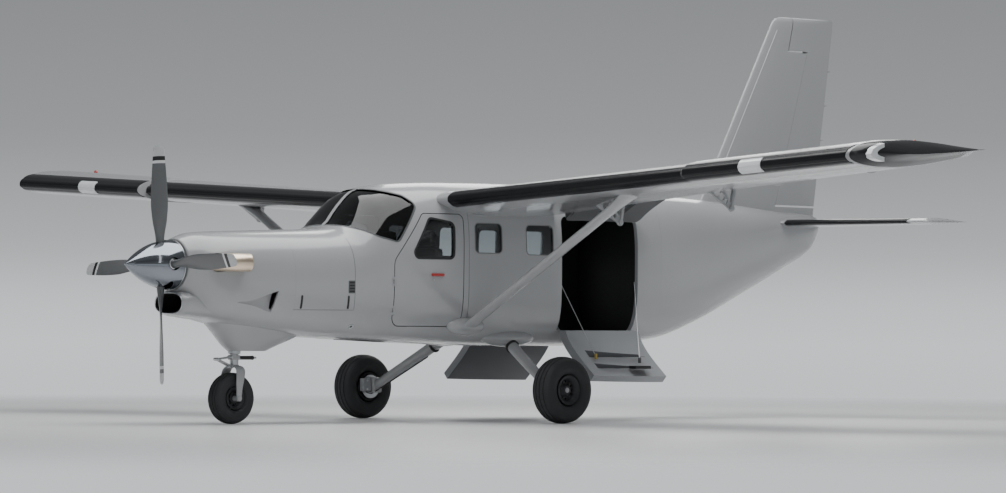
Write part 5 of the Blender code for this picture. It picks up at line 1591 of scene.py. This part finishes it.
def upright_ring(front, back, z, thickness, count=30):
    """One level ring of the fin."""
    chord = back - front
    shares = [(1 - math.cos(math.pi * i / count)) / 2 for i in range(count + 1)]
    left = [at(max(half_thickness(math.sqrt(share))[0] * chord * thickness, 0.0015), front + chord * share,
               z) for share in shares]
    left[0].x = left[-1].x = 0.0
    return left + [Vector((-point.x, point.y, point.z)) for point in reversed(left[1:-1])]


def fin_solid(finish=None):
    return dressed(loft([upright_ring(*row) for row in FIN_ROWS]), finish)


def rudder_axis():
    low, high = [at(0, station, z) for station, z in RUDDER_HINGE]
    axis = (high - low).normalized()
    return low, axis, Vector((0, axis.z, -axis.y))


def fin_half_thickness(z):
    """Half the fin's thickness near the rudder's hinge line."""
    front, back, _, share = FIN_ROWS[0]
    front_high, back_high, high, _ = FIN_ROWS[1]
    chord = back - front + (back_high - front_high - back + front) * (z - FIN_LOW_Z) / (high - FIN_LOW_Z)
    return 0.058 * chord * share


def rudder_room(gap):
    """What lies behind the rudder's round nose, and the horn above and in front of it."""
    low, axis, aft = rudder_axis()
    ends, radii = [], []
    for z in (RUDDER_BOTTOM - 0.1, HORN_Z + 0.1):
        ends.append(low + axis * ((z - low.z) / axis.z))
        radii.append(fin_half_thickness(z) * 1.15 + gap)
    room = hinged_room(ends, radii, aft, 1.0, 0.4)
    wide_gap = RUDDER_GAP if gap else 0
    below_horn = HORN_Z - wide_gap
    (front_low, _), (front_high, z_high) = HORN_FRONT
    horn = ((front_low - wide_gap, below_horn), (front_high - wide_gap, z_high), (10.9, z_high),
            (10.9, below_horn))
    joined(room, side_prism(horn, -0.4, 0.4))
    return cut(room, block((-0.6, 9.0, 1.5), (0.6, 11.0, RUDDER_BOTTOM - wide_gap)))


def tail_row(x):
    share = abs(x) / TAIL_HALF_SPAN
    front = TAIL_ROOT[0] + (TAIL_TIP[0] - TAIL_ROOT[0]) * share
    return front, TAIL_ROOT[1] + (TAIL_TIP[1] - TAIL_ROOT[1]) * share, TAIL_Z, TAIL_Z


# side distance, thickness share, front drawn back
TAIL_END_ROWS = ((2.26, 1.0, 0.0), (2.295, 0.86, 0.008), (2.318, 0.6, 0.02), (2.33, 0.2, 0.035))


def tailplane_solid(side, finish=None):
    rings = [aerofoil_ring(x, tail_row(x), side, TAIL_THICKNESS, 26) for x in (0.0, 1.0, 2.0)]
    for x, thick, drawn_back in TAIL_END_ROWS:
        front, back, z, _ = tail_row(x)
        rings.append(aerofoil_ring(x, (front + drawn_back, back, z, z), side, TAIL_THICKNESS * thick, 26))
    return dressed(loft(rings), finish)


def elevator_room(side, margin):
    ends = [at(side * x, ELEVATOR_HINGE, TAIL_Z) for x in (ELEVATOR_X[0] - margin, ELEVATOR_X[1] + margin)]
    return hinged_room(ends, [ELEVATOR_NOSE + margin] * 2)


class BuildTail(Maker, bpy.types.Operator):
    """Build the tail cone, the fin and the rudder with its horn"""
    bl_idname = "bush_plane.tail"
    bl_label = "Tail cone, fin and rudder"

    def execute(self, context):
        low, axis, _ = rudder_axis()
        cone = body(CABIN_END + SEAT_GAP, TAIL_END, 0.0, look("paint"))
        finished(cone, "tail_cone_skin", "airframe", replaces=["tail_cone"], even=True)
        rudder = common(fin_solid(look("paint")), dressed(rudder_room(0.0), look("paint")))
        finished(rudder, "rudder_skin", "rudder", replaces=["rudder"], even=True)
        bottom = low + axis * ((RUDDER_BOTTOM - low.z) / axis.z)
        pin_end = bottom - axis * 0.02
        finished(bar(pin_end, bottom + axis * 0.05, PIN_RADIUS), "rudder_pin", "rudder",
                 look("steel"))
        # The faces round the rudder's gap are near black: painted shade in the gap
        fin = cut(fin_solid(look("paint")), dressed(rudder_room(MOVING_GAP), look("gap_shade")))
        cut(fin, body(7.0, TAIL_END, -SEAT_GAP))
        cut(fin, bar(pin_end - axis * SEAT_GAP, bottom + axis * 0.05, PIN_RADIUS + 0.01))
        finished(fin, "fin_skin", "airframe", replaces=["fin"], even=True)
        finished(self.static_rods(), "tail_rods", "rudder", look("black"))
        finished(self.edge_lines(), "fin_edge_lines", "airframe", look("edge_highlight"))
        return {"FINISHED"}

    def edge_lines(self):
        """The edge of the strip along the fin's front, on both its faces, as a line paler than the white
        paint: a painted highlight.
        """
        (front_low, back_low, z_low, thick), (front_high, back_high, z_high, _) = FIN_ROWS[:2]
        pieces = []
        for side in (1, -1):
            points = []
            for t in spread(0.10, 0.985, 40):
                front, back = front_low + (front_high - front_low) * t, back_low + (back_high - back_low) * t
                half = half_thickness(math.sqrt(FIN_STRIP / (back - front)))[0] * (back - front) * thick
                points.append(at(side * half, front + FIN_STRIP, z_low + (z_high - z_low) * t))
            pieces.append(ribbon(points, [Vector((side, -0.4, 0)).normalized()] * len(points), 0.007, 0.002))
        return merged(pieces)

    def static_rods(self):
        """Thin discharge wicks on the rudder's trailing edge."""
        pieces = []
        for z in (3.2, 3.6, 4.0):
            station = FIN_ROWS[0][1] + (FIN_ROWS[1][1] - FIN_ROWS[0][1]) * (z - 2.30) / (4.48 - 2.30)
            start = at(0, station - 0.012, z)
            pieces.append(bar(start, start + Vector((0, 0.055, 0.006)), 0.003, 0.0015, 12))
        return merged(pieces)


class BuildTailplanes(Maker, bpy.types.Operator):
    """Build the tailplanes with their boots, and the elevators"""
    bl_idname = "bush_plane.tailplanes"
    bl_label = "Tailplanes and elevators"

    def execute(self, context):
        for name, side in SIDES:
            plane = tailplane_solid(side, look("paint"))
            cut(plane, body(7.0, TAIL_END, -SEAT_GAP))
            cut(plane, dressed(elevator_room(side, MOVING_GAP), look("trim")))
            finished(plane, f"tailplane_skin_{name}", "airframe",
                     replaces=[f"tailplane_{name}"], even=True)
            elevator = common(tailplane_solid(side, look("paint")),
                              dressed(elevator_room(side, 0.0), look("paint")))
            pins = end_pins([at(side * x, ELEVATOR_HINGE, TAIL_Z) for x in ELEVATOR_X], MOVING_GAP)
            finished(elevator, f"elevator_skin_{name}", "elevator",
                     replaces=[f"elevator_{name}"], even=True)
            finished(merged(pins), f"elevator_pins_{name}", "elevator", look("steel"))
            boot = leading_boot(side, tail_row, (0.36, 2.06), 0.10, 0.09, TAIL_THICKNESS, 3, 6)
            cut(boot, body(7.0, TAIL_END, -SEAT_GAP))
            finished(boot, f"tail_boot_{name}", "airframe", look("boot"))
        return {"FINISHED"}


# Landing gear

MAIN_X = 1.60
MAIN_STATION = 4.58
MAIN_RADIUS = 0.352
MAIN_HALF_WIDTH = 0.135
MAIN_RIM = 0.15
AXLE_RADIUS = 0.028
AXLE_BORE = 0.0286
BULGE_MIDDLE = (0.52, 4.78, 0.90)
BULGE_REACH = (0.14, 0.37, 0.10)
LEG_HEAD = (0.46, 4.80, 0.90)
LEG_FOOT = (1.39, 4.60, 0.37)
LEG_RADIUS = (0.064, 0.050)
NOSE_STATION = 1.40
STRUT_STATION = 1.44
NOSE_RADIUS = 0.265
NOSE_HALF_WIDTH = 0.095
NOSE_RIM = 0.11
NOSE_STRUT_RADIUS = 0.045
FAIRING_BOTTOM = 0.752

# height, front station, back station, half width
NOSE_FAIRING_ROWS = ((FAIRING_BOTTOM, 1.375, 1.83, 0.13), (0.81, 1.30, 1.98, 0.17),
                     (0.90, 1.22, 2.22, 0.235), (1.05, 1.07, 2.42, 0.28))

# Fork, from the axle up over the tyre: side distance, station, height, width
FORK_ROWS = ((0.130, 1.40, 0.235, 0.060), (0.131, 1.405, 0.36, 0.078), (0.129, 1.42, 0.47, 0.105),
             (0.112, 1.435, 0.552, 0.115), (0.070, 1.44, 0.588, 0.105), (0.0, 1.44, 0.598, 0.10))
FORK_THICK = 0.022
COLLAR_RADIUS = 0.064
LINK_APEX = (1.205, 0.668)

# How far the raised rings stand off a tyre's sidewall, and the steps of its outline where they are
SIDEWALL_RIDGE = 0.0018
SIDEWALL_RIDGES = (6, 14, 18, 27, 31)


def tyre_profile(radius, half_width, rim):
    """A tyre's closed outline: grooved tread, round shoulders and raised rings on the sidewalls."""
    depth = settings("sizes").groove_depth
    power = 2.5
    middle, reach = (radius + rim) / 2, (radius - rim) / 2

    def crown(along):
        return middle + reach * (1 - abs(along / half_width) ** power) ** (1 / power)

    edge = 0.72 * half_width
    points = []
    for share in (-0.56, -0.19, 0.19, 0.56):
        for offset, drop in ((-0.007, 0), (-0.005, depth), (0.005, depth), (0.007, 0)):
            along = share * half_width + offset
            points.append((crown(along) - drop, along))
    points = [(crown(-edge), -edge)] + points + [(crown(edge), edge)]
    side = []
    first = math.asin(min(((crown(edge) - middle) / reach) ** (power / 2), 1))
    for i in range(1, 45):
        turn = first + (-math.radians(82) - first) * i / 44
        share = math.sin(turn)
        height = middle + reach * math.copysign(abs(share) ** (2 / power), share)
        out = half_width * math.cos(turn) ** (2 / power)
        side.append((height, out + (SIDEWALL_RIDGE if i in SIDEWALL_RIDGES else 0.0)))
    return points + side + [(height, -out) for height, out in reversed(side)]


def hub_profile(rim, half_width):
    """A cast hub's outline, dished on both faces, with a rolled flange at each edge."""
    edge = rim + 0.004
    face = [(AXLE_BORE, 0.60), (0.046, 0.60), (0.052, 0.55), (rim * 0.5, 0.40), (rim * 0.66, 0.40),
            (rim * 0.76, 0.66), (rim * 0.86, 0.74), (rim * 0.93, 0.80), (edge, 0.82), (edge + 0.004, 0.78),
            (edge + 0.003, 0.72), (rim - 0.002, 0.69)]
    return ([(radius, -half_width * share) for radius, share in face]
            + [(radius, half_width * share) for radius, share in reversed(face)])


def wheel_pieces(centre, radius, half_width, rim, name, body_name):
    """A grooved tyre, and its hub with bolts and lightening holes."""
    across = (1, 0, 0)
    tyre = turned(tyre_profile(radius, half_width, rim), centre, across, 96, closed=True)
    finished(tyre, f"{name}_rubber", body_name, look("tyre"), replaces=[f"{name}_tyre"], angle=40)
    hub = dressed(turned(hub_profile(rim, half_width), centre, across, 72, closed=True), look("wheel"))
    holes = 6
    for k in range(holes):
        turn = math.tau * (k + 0.5) / holes
        spot = centre + Vector((0, math.cos(turn), math.sin(turn))) * rim * 0.60
        reach = Vector((half_width, 0, 0))
        # The holes' faces are near black: painted shade inside the holes
        cut(hub, dressed(bar(spot - reach, spot + reach, rim * 0.085, sides=24), look("soot")))
    finished(hub, f"{name}_casting", body_name, replaces=[f"{name}_rim"])
    bolts = []
    for way in (1, -1):
        for k in range(holes):
            turn = math.tau * k / holes
            spot = centre + Vector((way * half_width * 0.40, math.cos(turn) * rim * 0.60,
                                    math.sin(turn) * rim * 0.60))
            bolts.append(bar(spot, spot + Vector((way * 0.016, 0, 0)), 0.010, sides=6, bevel=0.001))
            bolts.append(bar(spot, spot + Vector((way * 0.006, 0, 0)), 0.014, sides=24))
    finished(merged(bolts), f"{name}_bolts", body_name, look("black"))


class BuildMainGear(Maker, bpy.types.Operator):
    """Build the main wheels, their sprung legs, brakes and hoses"""
    bl_idname = "bush_plane.main_gear"
    bl_label = "Main gear"

    def execute(self, context):
        for name, side in SIDES:
            centre = at(side * MAIN_X, MAIN_STATION, MAIN_RADIUS)
            wheel_pieces(centre, MAIN_RADIUS, MAIN_HALF_WIDTH, MAIN_RIM, f"main_wheel_{name}",
                         f"main_wheel_{name}")
            self.brake_disc(centre, side, name)
            leg = bar(at(*LEG_HEAD), at(*LEG_FOOT), *LEG_RADIUS, sides=64)
            knuckle = block((1.36, 4.525, 0.285), (1.435, 4.655, 0.455), 0.018, 4)
            joined(leg, knuckle)
            axle = bar(at(1.40, MAIN_STATION, MAIN_RADIUS), at(MAIN_X + 0.085, MAIN_STATION, MAIN_RADIUS),
                       AXLE_RADIUS, sides=48, bevel=0.003)
            joined(leg, axle)
            cut(leg, body(4.0, 5.6, -SEAT_GAP))
            cut(leg, ball(at(*BULGE_MIDDLE), [reach + SEAT_GAP * 1.5 for reach in BULGE_REACH]))
            finished(to_side(leg, side), f"gear_leg_{name}", "airframe", look("paint"),
                     replaces=[f"main_gear_leg_{name}"])
            finished(to_side(self.fittings(), side), f"gear_fittings_{name}", "airframe")
        return {"FINISHED"}

    def brake_disc(self, centre, side, name):
        """The bright disc that turns with the wheel, on its inboard face."""
        face = -side * MAIN_HALF_WIDTH
        profile = [(0.060, face * 0.93), (0.128, face * 0.93), (0.128, face * 1.0), (0.060, face * 1.0)]
        finished(turned(profile, centre, (1, 0, 0), 72, closed=True), f"brake_disc_{name}",
                 f"main_wheel_{name}", look("steel"))

    def fittings(self):
        """The brake caliper, the rubber ring round the leg's head, and the brake's hose."""
        pieces = [dressed(block((1.385, 4.405, 0.30), (1.452, 4.522, 0.445), 0.012, 3), look("grey_paint"))]
        for z in (0.325, 0.42):
            pieces.append(dressed(bar(at(1.379, 4.46, z), at(1.388, 4.46, z), 0.012, sides=6),
                                  look("steel")))
        head, foot = at(*LEG_HEAD), at(*LEG_FOOT)
        way = (foot - head).normalized()
        spot = head + way * 0.205
        boot = turned([(0.060, -0.02), (0.074, -0.02), (0.077, -0.008), (0.074, 0.006), (0.060, 0.008)],
                      spot, way, 64, closed=True)
        pieces.append(dressed(boot, look("gasket")))
        across = way.cross(UP).normalized()
        above = across.cross(way).normalized()
        path = []
        for share in spread(0.30, 0.93, 12):
            radius = LEG_RADIUS[0] + (LEG_RADIUS[1] - LEG_RADIUS[0]) * share
            path.append(head.lerp(foot, share) - above * (radius + 0.006))
        path += [at(1.395, 4.53, 0.275), at(1.41, 4.48, 0.285), at(1.412, 4.46, 0.302)]
        pieces.append(dressed(tube(path, 0.006), look("gasket")))
        return merged(pieces)


def oval_plan(z, front, back, half_width):
    """A level oval ring, blunter than an ellipse."""
    ring = []
    for i in range(72):
        turn = math.tau * (i + 0.5) / 72
        across, along = math.sin(turn), math.cos(turn)
        ring.append(at(half_width * math.copysign(abs(across) ** 0.9, across),
                       (front + back) / 2 + (back - front) / 2 * math.copysign(abs(along) ** 0.9, along), z))
    return ring


class BuildNoseGear(Maker, bpy.types.Operator):
    """Build the nose wheel with its fork, steering collar, links, damper, strut and fairing"""
    bl_idname = "bush_plane.nose_gear"
    bl_label = "Nose gear"

    def execute(self, context):
        paint = look("paint")
        fairing = loft([oval_plan(*row) for row in smooth_rows(NOSE_FAIRING_ROWS, 14)])
        cut(fairing, body(COWL_FRONT, 2.9, -SEAT_GAP))
        finished(fairing, "nose_fairing", "airframe", paint, replaces=["nose_gear_fairing"],
                 even=True)
        strut = turned([(0.0, 0.612), (NOSE_STRUT_RADIUS, 0.612), (NOSE_STRUT_RADIUS, 0.720),
                        (0.062, 0.724), (0.066, 0.730), (0.066, FAIRING_BOTTOM - SEAT_GAP),
                        (0.0, FAIRING_BOTTOM - SEAT_GAP)], at(0, STRUT_STATION, 0), UP, 64)
        finished(strut, "nose_strut", "airframe", look("steel"),
                 replaces=["nose_gear_strut"])
        fork = self.fork()
        finished(fork, "fork_casting", "nose_fork", paint, replaces=["nose_fork"])
        finished(self.links(), "fork_links", "nose_fork")
        finished(self.damper(), "damper_tube", "nose_fork", replaces=["steering_damper"])
        centre = at(0, NOSE_STATION, NOSE_RADIUS)
        wheel_pieces(centre, NOSE_RADIUS, NOSE_HALF_WIDTH, NOSE_RIM, "nose_wheel", "nose_wheel")
        return {"FINISHED"}

    def fork(self):
        table = smooth_table([(i, *row) for i, row in enumerate(FORK_ROWS)])
        rows = [table(place) for place in spread(0, len(FORK_ROWS) - 1, 26)]
        rings = []
        for side in (1, -1):
            half = rows if side > 0 else list(reversed(rows))[1:]
            for i, (x, station, z, width) in enumerate(half):
                before, after = half[max(i - 1, 0)], half[min(i + 1, len(half) - 1)]
                way = Vector((side * (after[0] - before[0]), 0, after[2] - before[2]))
                if x < 1e-6:
                    way = Vector((-1, 0, 0))
                normal = AFT.cross(way.normalized()) * FORK_THICK / 2
                middle = at(side * x, station, z)
                ring = []
                for k in range(28):
                    turn = math.tau * (k + 0.5) / 28
                    along, thick = math.cos(turn), math.sin(turn)
                    ring.append(middle + AFT * width / 2 * math.copysign(abs(along) ** 0.5, along)
                                + normal * math.copysign(abs(thick) ** 0.7, thick))
                rings.append(ring)
        fork = loft(rings)
        bore = 0.0466
        collar = turned([(bore, 0.662), (COLLAR_RADIUS - 0.003, 0.662), (COLLAR_RADIUS, 0.665),
                         (COLLAR_RADIUS, 0.709), (COLLAR_RADIUS - 0.003, 0.712), (bore, 0.712)],
                        at(0, STRUT_STATION, 0), UP, 64, closed=True)
        foot = turned([(0.0, 0.60), (0.050, 0.60), (0.050, 0.6095), (0.048, 0.6115), (0.0, 0.6115)],
                      at(0, STRUT_STATION, 0), UP, 64)
        axle = bar(at(-0.15, NOSE_STATION, NOSE_RADIUS), at(0.15, NOSE_STATION, NOSE_RADIUS), AXLE_RADIUS,
                   sides=48, bevel=0.003)
        return merged([fork, collar, foot, axle])

    def links(self):
        """The two scissor links between the fork and the collar, with bushes at their ends."""
        apex = at(0, *LINK_APEX)
        pieces = []
        for station, z, width in ((1.385, 0.688, 0.070), (1.395, 0.592, 0.078)):
            start = at(0, station, z)
            for side in (1, -1):
                reach = Vector((side * width * 0.36, 0, 0))
                pieces.append(dressed(slab(start + reach, apex + reach * 0.5, Vector((1, 0, 0)), 0.020,
                                           0.018, 0.004), look("paint")))
            web = slab(start.lerp(apex, 0.1), start.lerp(apex, 0.6), Vector((1, 0, 0)), width * 0.6,
                       0.008, 0.002)
            pieces.append(dressed(web, look("paint")))
            reach = Vector((width * 0.55, 0, 0))
            pieces.append(dressed(bar(start - reach, start + reach, 0.014, bevel=0.002), look("steel")))
        pieces.append(dressed(bar(apex - Vector((0.032, 0, 0)), apex + Vector((0.032, 0, 0)), 0.017,
                                  bevel=0.002), look("steel")))
        return merged(pieces)

    def damper(self):
        start = STRUT_STATION + COLLAR_RADIUS + SEAT_GAP
        z = 0.682
        barrel = turned([(0.0, start), (0.022, start), (0.022, start + 0.006), (0.0205, start + 0.01),
                         (0.0205, 1.672), (0.022, 1.676), (0.022, 1.69), (0.0, 1.69)], at(0, 0, z), AFT, 48)
        rod = bar(at(0, 1.68, z), at(0, 1.718, z), 0.009, bevel=0.001)
        eye = bar(at(-0.010, 1.72, z), at(0.010, 1.72, z), 0.011, bevel=0.002)
        return merged([dressed(barrel, look("black")), dressed(rod, look("steel")),
                       dressed(eye, look("steel"))])


# Inside

COCKPIT_FLOOR_TOP = 0.97


def cushion(low, high, crown, pull=0.06):
    """A crowned closed pad whose sides pull in between its corners."""
    piece = block(low, high)
    edit_all(piece, lambda: bpy.ops.mesh.subdivide(number_cuts=15))
    low, high = at(*low), at(*high)
    middle, half = (low + high) / 2, Vector([abs(value) / 2 for value in high - low])
    for vertex in piece.data.vertices:
        share = [(vertex.co[i] - middle[i]) / half[i] for i in range(3)]
        moved = []
        for i in range(3):
            others = [share[k] for k in range(3) if k != i]
            swell = (1 - others[0] ** 2) * (1 - others[1] ** 2)
            corner = (others[0] ** 4 + others[1] ** 4) / 2
            moved.append(middle[i] + half[i] * share[i] * (1 - pull * corner) - half[i] * share[i] * pull
                         + share[i] * crown[i] * swell)
        vertex.co = moved
    modified(piece, "BEVEL", width=0.012, segments=2, limit_method="ANGLE", angle_limit=math.radians(60))
    return modified(piece, "SUBSURF", levels=1, render_levels=1)


class BuildInterior(Maker, bpy.types.Operator):
    """Build the crew's seats and the instrument panel, and finish the floor"""
    bl_idname = "bush_plane.interior"
    bl_label = "Interior"

    def execute(self, context):
        for node, finish in (("cabin_floor", look("floor")), ("engine_block", look("steel"))):
            bpy.data.objects[node].material_slots[0].material = finish
        for name, side in SIDES:
            base = block((side * 0.14, 3.42, COCKPIT_FLOOR_TOP + SEAT_GAP), (side * 0.44, 3.76, 1.19), 0.015)
            rails = [block((side * x, 3.38, 1.19), (side * (x + 0.03), 3.80, 1.222), 0.006)
                     for x in (0.14, 0.41)]
            finished(merged([base] + rails), f"seat_frame_{name}", "airframe", look("trim"))
            seat = cushion((side * 0.10, 3.35, 1.225), (side * 0.54, 3.78, 1.36), (0.004, 0.004, 0.018))
            back = cushion((side * 0.11, 3.755, 1.32), (side * 0.53, 3.87, 1.86), (0.006, 0.012, 0.006))
            head = cushion((side * 0.21, 3.76, 1.87), (side * 0.43, 3.85, 2.03), (0.006, 0.010, 0.010))
            for piece, label in ((seat, "cushion"), (back, "back"), (head, "headrest")):
                finished(piece, f"seat_{label}_{name}", "airframe", look("leather"),
                         replaces=[f"crew_seat_{name}"] if label == "back" else ())
        deep = block((-0.45, 2.36, 1.46), (0.45, 2.74, 1.84), 0.02)
        board = block((-0.52, 2.72, 1.45), (0.52, 2.82, 1.88), 0.02)
        shield = block((-0.54, 2.68, 1.872), (0.54, 2.90, 1.892), 0.009)
        column = block((-0.10, 2.74, COCKPIT_FLOOR_TOP + SEAT_GAP), (0.10, 2.80, 1.50), 0.01)
        dials = [bar(at(x, 2.815, z), at(x, 2.826, z), 0.042, sides=32, bevel=0.003)
                 for x in (-0.38, -0.27, -0.16, 0.16, 0.27, 0.38) for z in (1.60, 1.73)]
        screens = [block((-0.09, 2.815, 1.56), (0.09, 2.826, 1.78), 0.004)]
        # The panel's body, board and glare shield take the lining's near black, deepened into painted shade
        pieces = [dressed(deep, look("lining")), dressed(board, look("lining")),
                  dressed(shield, look("lining")), dressed(column, look("trim"))]
        pieces += [dressed(piece, look("black")) for piece in dials + screens]
        finished(merged(pieces), "panel_board", "airframe", replaces=["instrument_panel"])
        return {"FINISHED"}


# Gaps between skin panels, as paths of (station, height)
SEAMS = (((1.776, 1.18), (2.52, 1.18), (2.52, 1.93)), ((4.05, 1.02), (4.05, 2.25)))


class BuildDetails(Maker, bpy.types.Operator):
    """Build the panel gaps, latches, vents, lights and small fittings on the skin"""
    bl_idname = "bush_plane.details"
    bl_label = "Skin details"

    def execute(self, context):
        for name, side in SIDES:
            finished(self.seams(side), f"panel_gaps_{name}", "airframe", look("seam"))
            finished(self.latches(side), f"latches_{name}", "airframe")
        finished(self.belly(), "belly_fittings", "airframe")
        return {"FINISHED"}

    def seams(self, side):
        """The gaps round the cowling's side panel and ahead of the cabin."""
        return merged([seam(path, side) for path in SEAMS])

    def latches(self, side):
        pieces = []
        # Each latch slot is a near-black patch: painted shade in the slot
        for station in (1.86, 2.44):
            outline = rounded(((station - 0.012, 1.19, 0.011), (station + 0.012, 1.19, 0.011),
                               (station + 0.012, 1.33, 0.011), (station - 0.012, 1.33, 0.011)))
            pieces.append(wall_piece(outline, side, -0.002, 0.004, 0.0, look("gap_shade")))
        vent = rounded(((2.435, 1.355, 0.01), (2.52, 1.355, 0.01), (2.52, 1.485, 0.01),
                        (2.435, 1.485, 0.01)))
        pieces.append(wall_piece(vent, side, -0.003, 0.005, 0.0, look("trim")))
        for z in spread(1.375, 1.465, 4):
            slat = ((2.445, z - 0.006), (2.51, z - 0.006), (2.51, z + 0.006), (2.445, z + 0.006))
            pieces.append(wall_piece(slat, side, -0.006, 0.004, 0.0, look("black")))
        lamp, normal = skin_point(2.56, 1.01, side, -0.004)
        ring = [(0.016, 0.0), (0.030, 0.0), (0.030, 0.008), (0.024, 0.011), (0.016, 0.008)]
        pieces.append(dressed(turned(ring, lamp, normal, 40, closed=True), look("steel")))
        pieces.append(dressed(bar(lamp, lamp + normal * 0.006, 0.017, sides=40), look("black")))
        return merged(pieces)

    def belly(self):
        """The dark oval hatch under the cockpit."""
        ring = []
        for turn in spread(0, math.tau * 39 / 40, 40):
            station, x = 3.14 + 0.35 * math.cos(turn), 0.09 * math.sin(turn)
            ring.append(at(x, station, belly_z(x, station) - 0.004))
        # The oval takes the same near black as the painted shade in the gaps
        return dressed(loft([ring, [point + UP * 0.012 for point in ring]]), look("gap_shade"))


# Studio

CAMERA_PLACE = (36.354, -33.476, 0.987)
CAMERA_TURN = (91.0452, -0.2571, 47.3586)
FLOOR_RADIUS = 20.0
FLOOR_FADE = 8.0

# The sky's tone by height, for directions as unit vectors; the ramp starts this far below level
SKY_LOW = 0.3
SKY_TINT = (0.95, 0.985, 1.01)
SKY_TONES = ((-0.3, 0.62), (-0.012, 0.84), (-0.004, 0.88), (0.006, 0.78), (0.018, 0.54), (0.042, 0.36),
             (0.07, 0.30), (0.14, 0.24), (0.40, 0.16), (0.68, 0.25))


def floor_surface():
    """A pale floor that fades away towards its rim."""
    made, tree = new_material("studio_floor")
    tone = settings("studio").floor_tone
    place = add_node(tree, "TexCoord").outputs["Object"]
    noise = add_node(tree, "TexNoise", {"Scale": 0.35, "Vector": place})
    tint = add_node(tree, "Mix", {
        "A": (tone * 0.98, tone * 0.985, tone * 0.99, 1), "B": (tone * 1.02, tone * 1.025, tone * 1.03, 1),
        "Factor": noise.outputs["Fac"]}, data_type="RGBA")
    away = add_node(tree, "VectorMath", {0: place}, operation="LENGTH")
    fade = add_node(tree, "MapRange", {
        "From Min": FLOOR_FADE, "From Max": FLOOR_RADIUS, "To Min": 1.0, "To Max": 0.0,
        "Value": away.outputs["Value"]}, interpolation_type="SMOOTHSTEP")
    fill(tree, tree.nodes["Principled BSDF"], {
        "Base Color": tint.outputs["Result"], "Roughness": 0.3, "Alpha": fade.outputs["Result"]})
    return made


class BuildStudio(Maker, bpy.types.Operator):
    """Build the pale floor, the soft lights and the camera"""
    bl_idname = "bush_plane.studio"
    bl_label = "Studio"

    def execute(self, context):
        deselect()
        bpy.ops.mesh.primitive_circle_add(vertices=128, radius=FLOOR_RADIUS, fill_type="NGON",
                                          location=(0, 0, -0.0005))
        floor = settle(bpy.context.object)
        floor.name = "studio_floor"
        dressed(floor, floor_surface())
        self.world(context)
        self.lights(context)
        camera = bpy.data.objects.new("photo_camera", bpy.data.cameras.new("photo_camera"))
        context.scene.collection.objects.link(camera)
        camera.location = CAMERA_PLACE
        camera.rotation_euler = [math.radians(value) for value in CAMERA_TURN]
        camera.data.lens = settings("studio").lens
        camera.data.sensor_width = 36.0
        camera.data.clip_end = 2000.0
        context.scene.camera = camera
        return {"FINISHED"}

    def world(self, context):
        """A soft grey sky that pales towards the horizon."""
        world = context.scene.world or bpy.data.worlds.new("studio")
        context.scene.world = world
        world.use_nodes = True
        tree = world.node_tree
        place = add_node(tree, "TexCoord").outputs["Generated"]
        height = add_node(tree, "SeparateXYZ", {"Vector": place}).outputs["Z"]
        lifted = add_node(tree, "Math", {0: height, 1: SKY_LOW})
        ramp = add_node(tree, "ValToRGB", {"Fac": lifted.outputs[0]})
        fill(tree, tree.nodes["Background"], {"Color": ramp.outputs["Color"], "Strength": 1.0})
        elements = ramp.color_ramp.elements
        for element, (height, tone) in zip(list(elements), (SKY_TONES[0], SKY_TONES[-1])):
            element.position = height + SKY_LOW
            element.color = (*[tone * share for share in SKY_TINT], 1)
        for height, tone in SKY_TONES[1:-1]:
            element = elements.new(height + SKY_LOW)
            element.color = (*[tone * share for share in SKY_TINT], 1)

    def lights(self, context):
        power = settings("studio").overhead
        # name, place, target, width, height, share of the power
        table = (("overhead", (1, -1, 13), (0, 0, 1.5), 13, 16, 1.05),
                 ("front_fill", (14, -20, 7), (0, -1, 1.5), 9, 5, 0.03),
                 ("strip", (14, -6, 10), (0, -2, 2.2), 0.6, 14, 0.03),
                 ("rim", (-10, 12, 10), (0, 3, 2), 8, 8, 0.28),)
        for name, place, target, width, height, share in table:
            data = bpy.data.lights.new(name, "AREA")
            data.shape = "RECTANGLE"
            data.size, data.size_y = width, height
            data.energy = power * share
            lamp = bpy.data.objects.new(name, data)
            context.scene.collection.objects.link(lamp)
            lamp.location = place
            lamp.rotation_euler = (Vector(target) - Vector(place)).to_track_quat("-Z", "Y").to_euler()


STEPS = (BuildStudio, BuildCabin, BuildWindows, BuildCrewDoors, BuildRearDoors, BuildAirstairs, BuildCowling,
         BuildExhausts, BuildPropeller, BuildWings, BuildBoots, BuildWingSurfaces, BuildStruts, BuildTail,
         BuildTailplanes, BuildMainGear, BuildNoseGear, BuildInterior, BuildDetails)


class BushPlanePanel(bpy.types.Panel):
    """Lists the settings and the building steps"""
    bl_idname = "VIEW3D_PT_bush_plane"
    bl_label = "Bush plane"
    bl_space_type = "VIEW_3D"
    bl_region_type = "UI"
    bl_category = "Bush plane"

    def draw(self, context):
        for name, group in GROUPS.items():
            box = self.layout.box()
            box.label(text=name.capitalize())
            for field in group.__annotations__:
                box.prop(settings(name), field)
        for step in STEPS:
            self.layout.operator(step.bl_idname)


def register():
    for kind in (*GROUPS.values(), *STEPS, BushPlanePanel):
        bpy.utils.register_class(kind)
    for name, group in GROUPS.items():
        setattr(bpy.types.Scene, f"bush_plane_{name}", bpy.props.PointerProperty(type=group))


def unregister():
    for name in GROUPS:
        delattr(bpy.types.Scene, f"bush_plane_{name}")
    for kind in reversed((*GROUPS.values(), *STEPS, BushPlanePanel)):
        bpy.utils.unregister_class(kind)


def main():
    register()
    for step in STEPS:
        group, name = step.bl_idname.split(".")
        getattr(getattr(bpy.ops, group), name)()


if __name__ == "__main__":
    main()
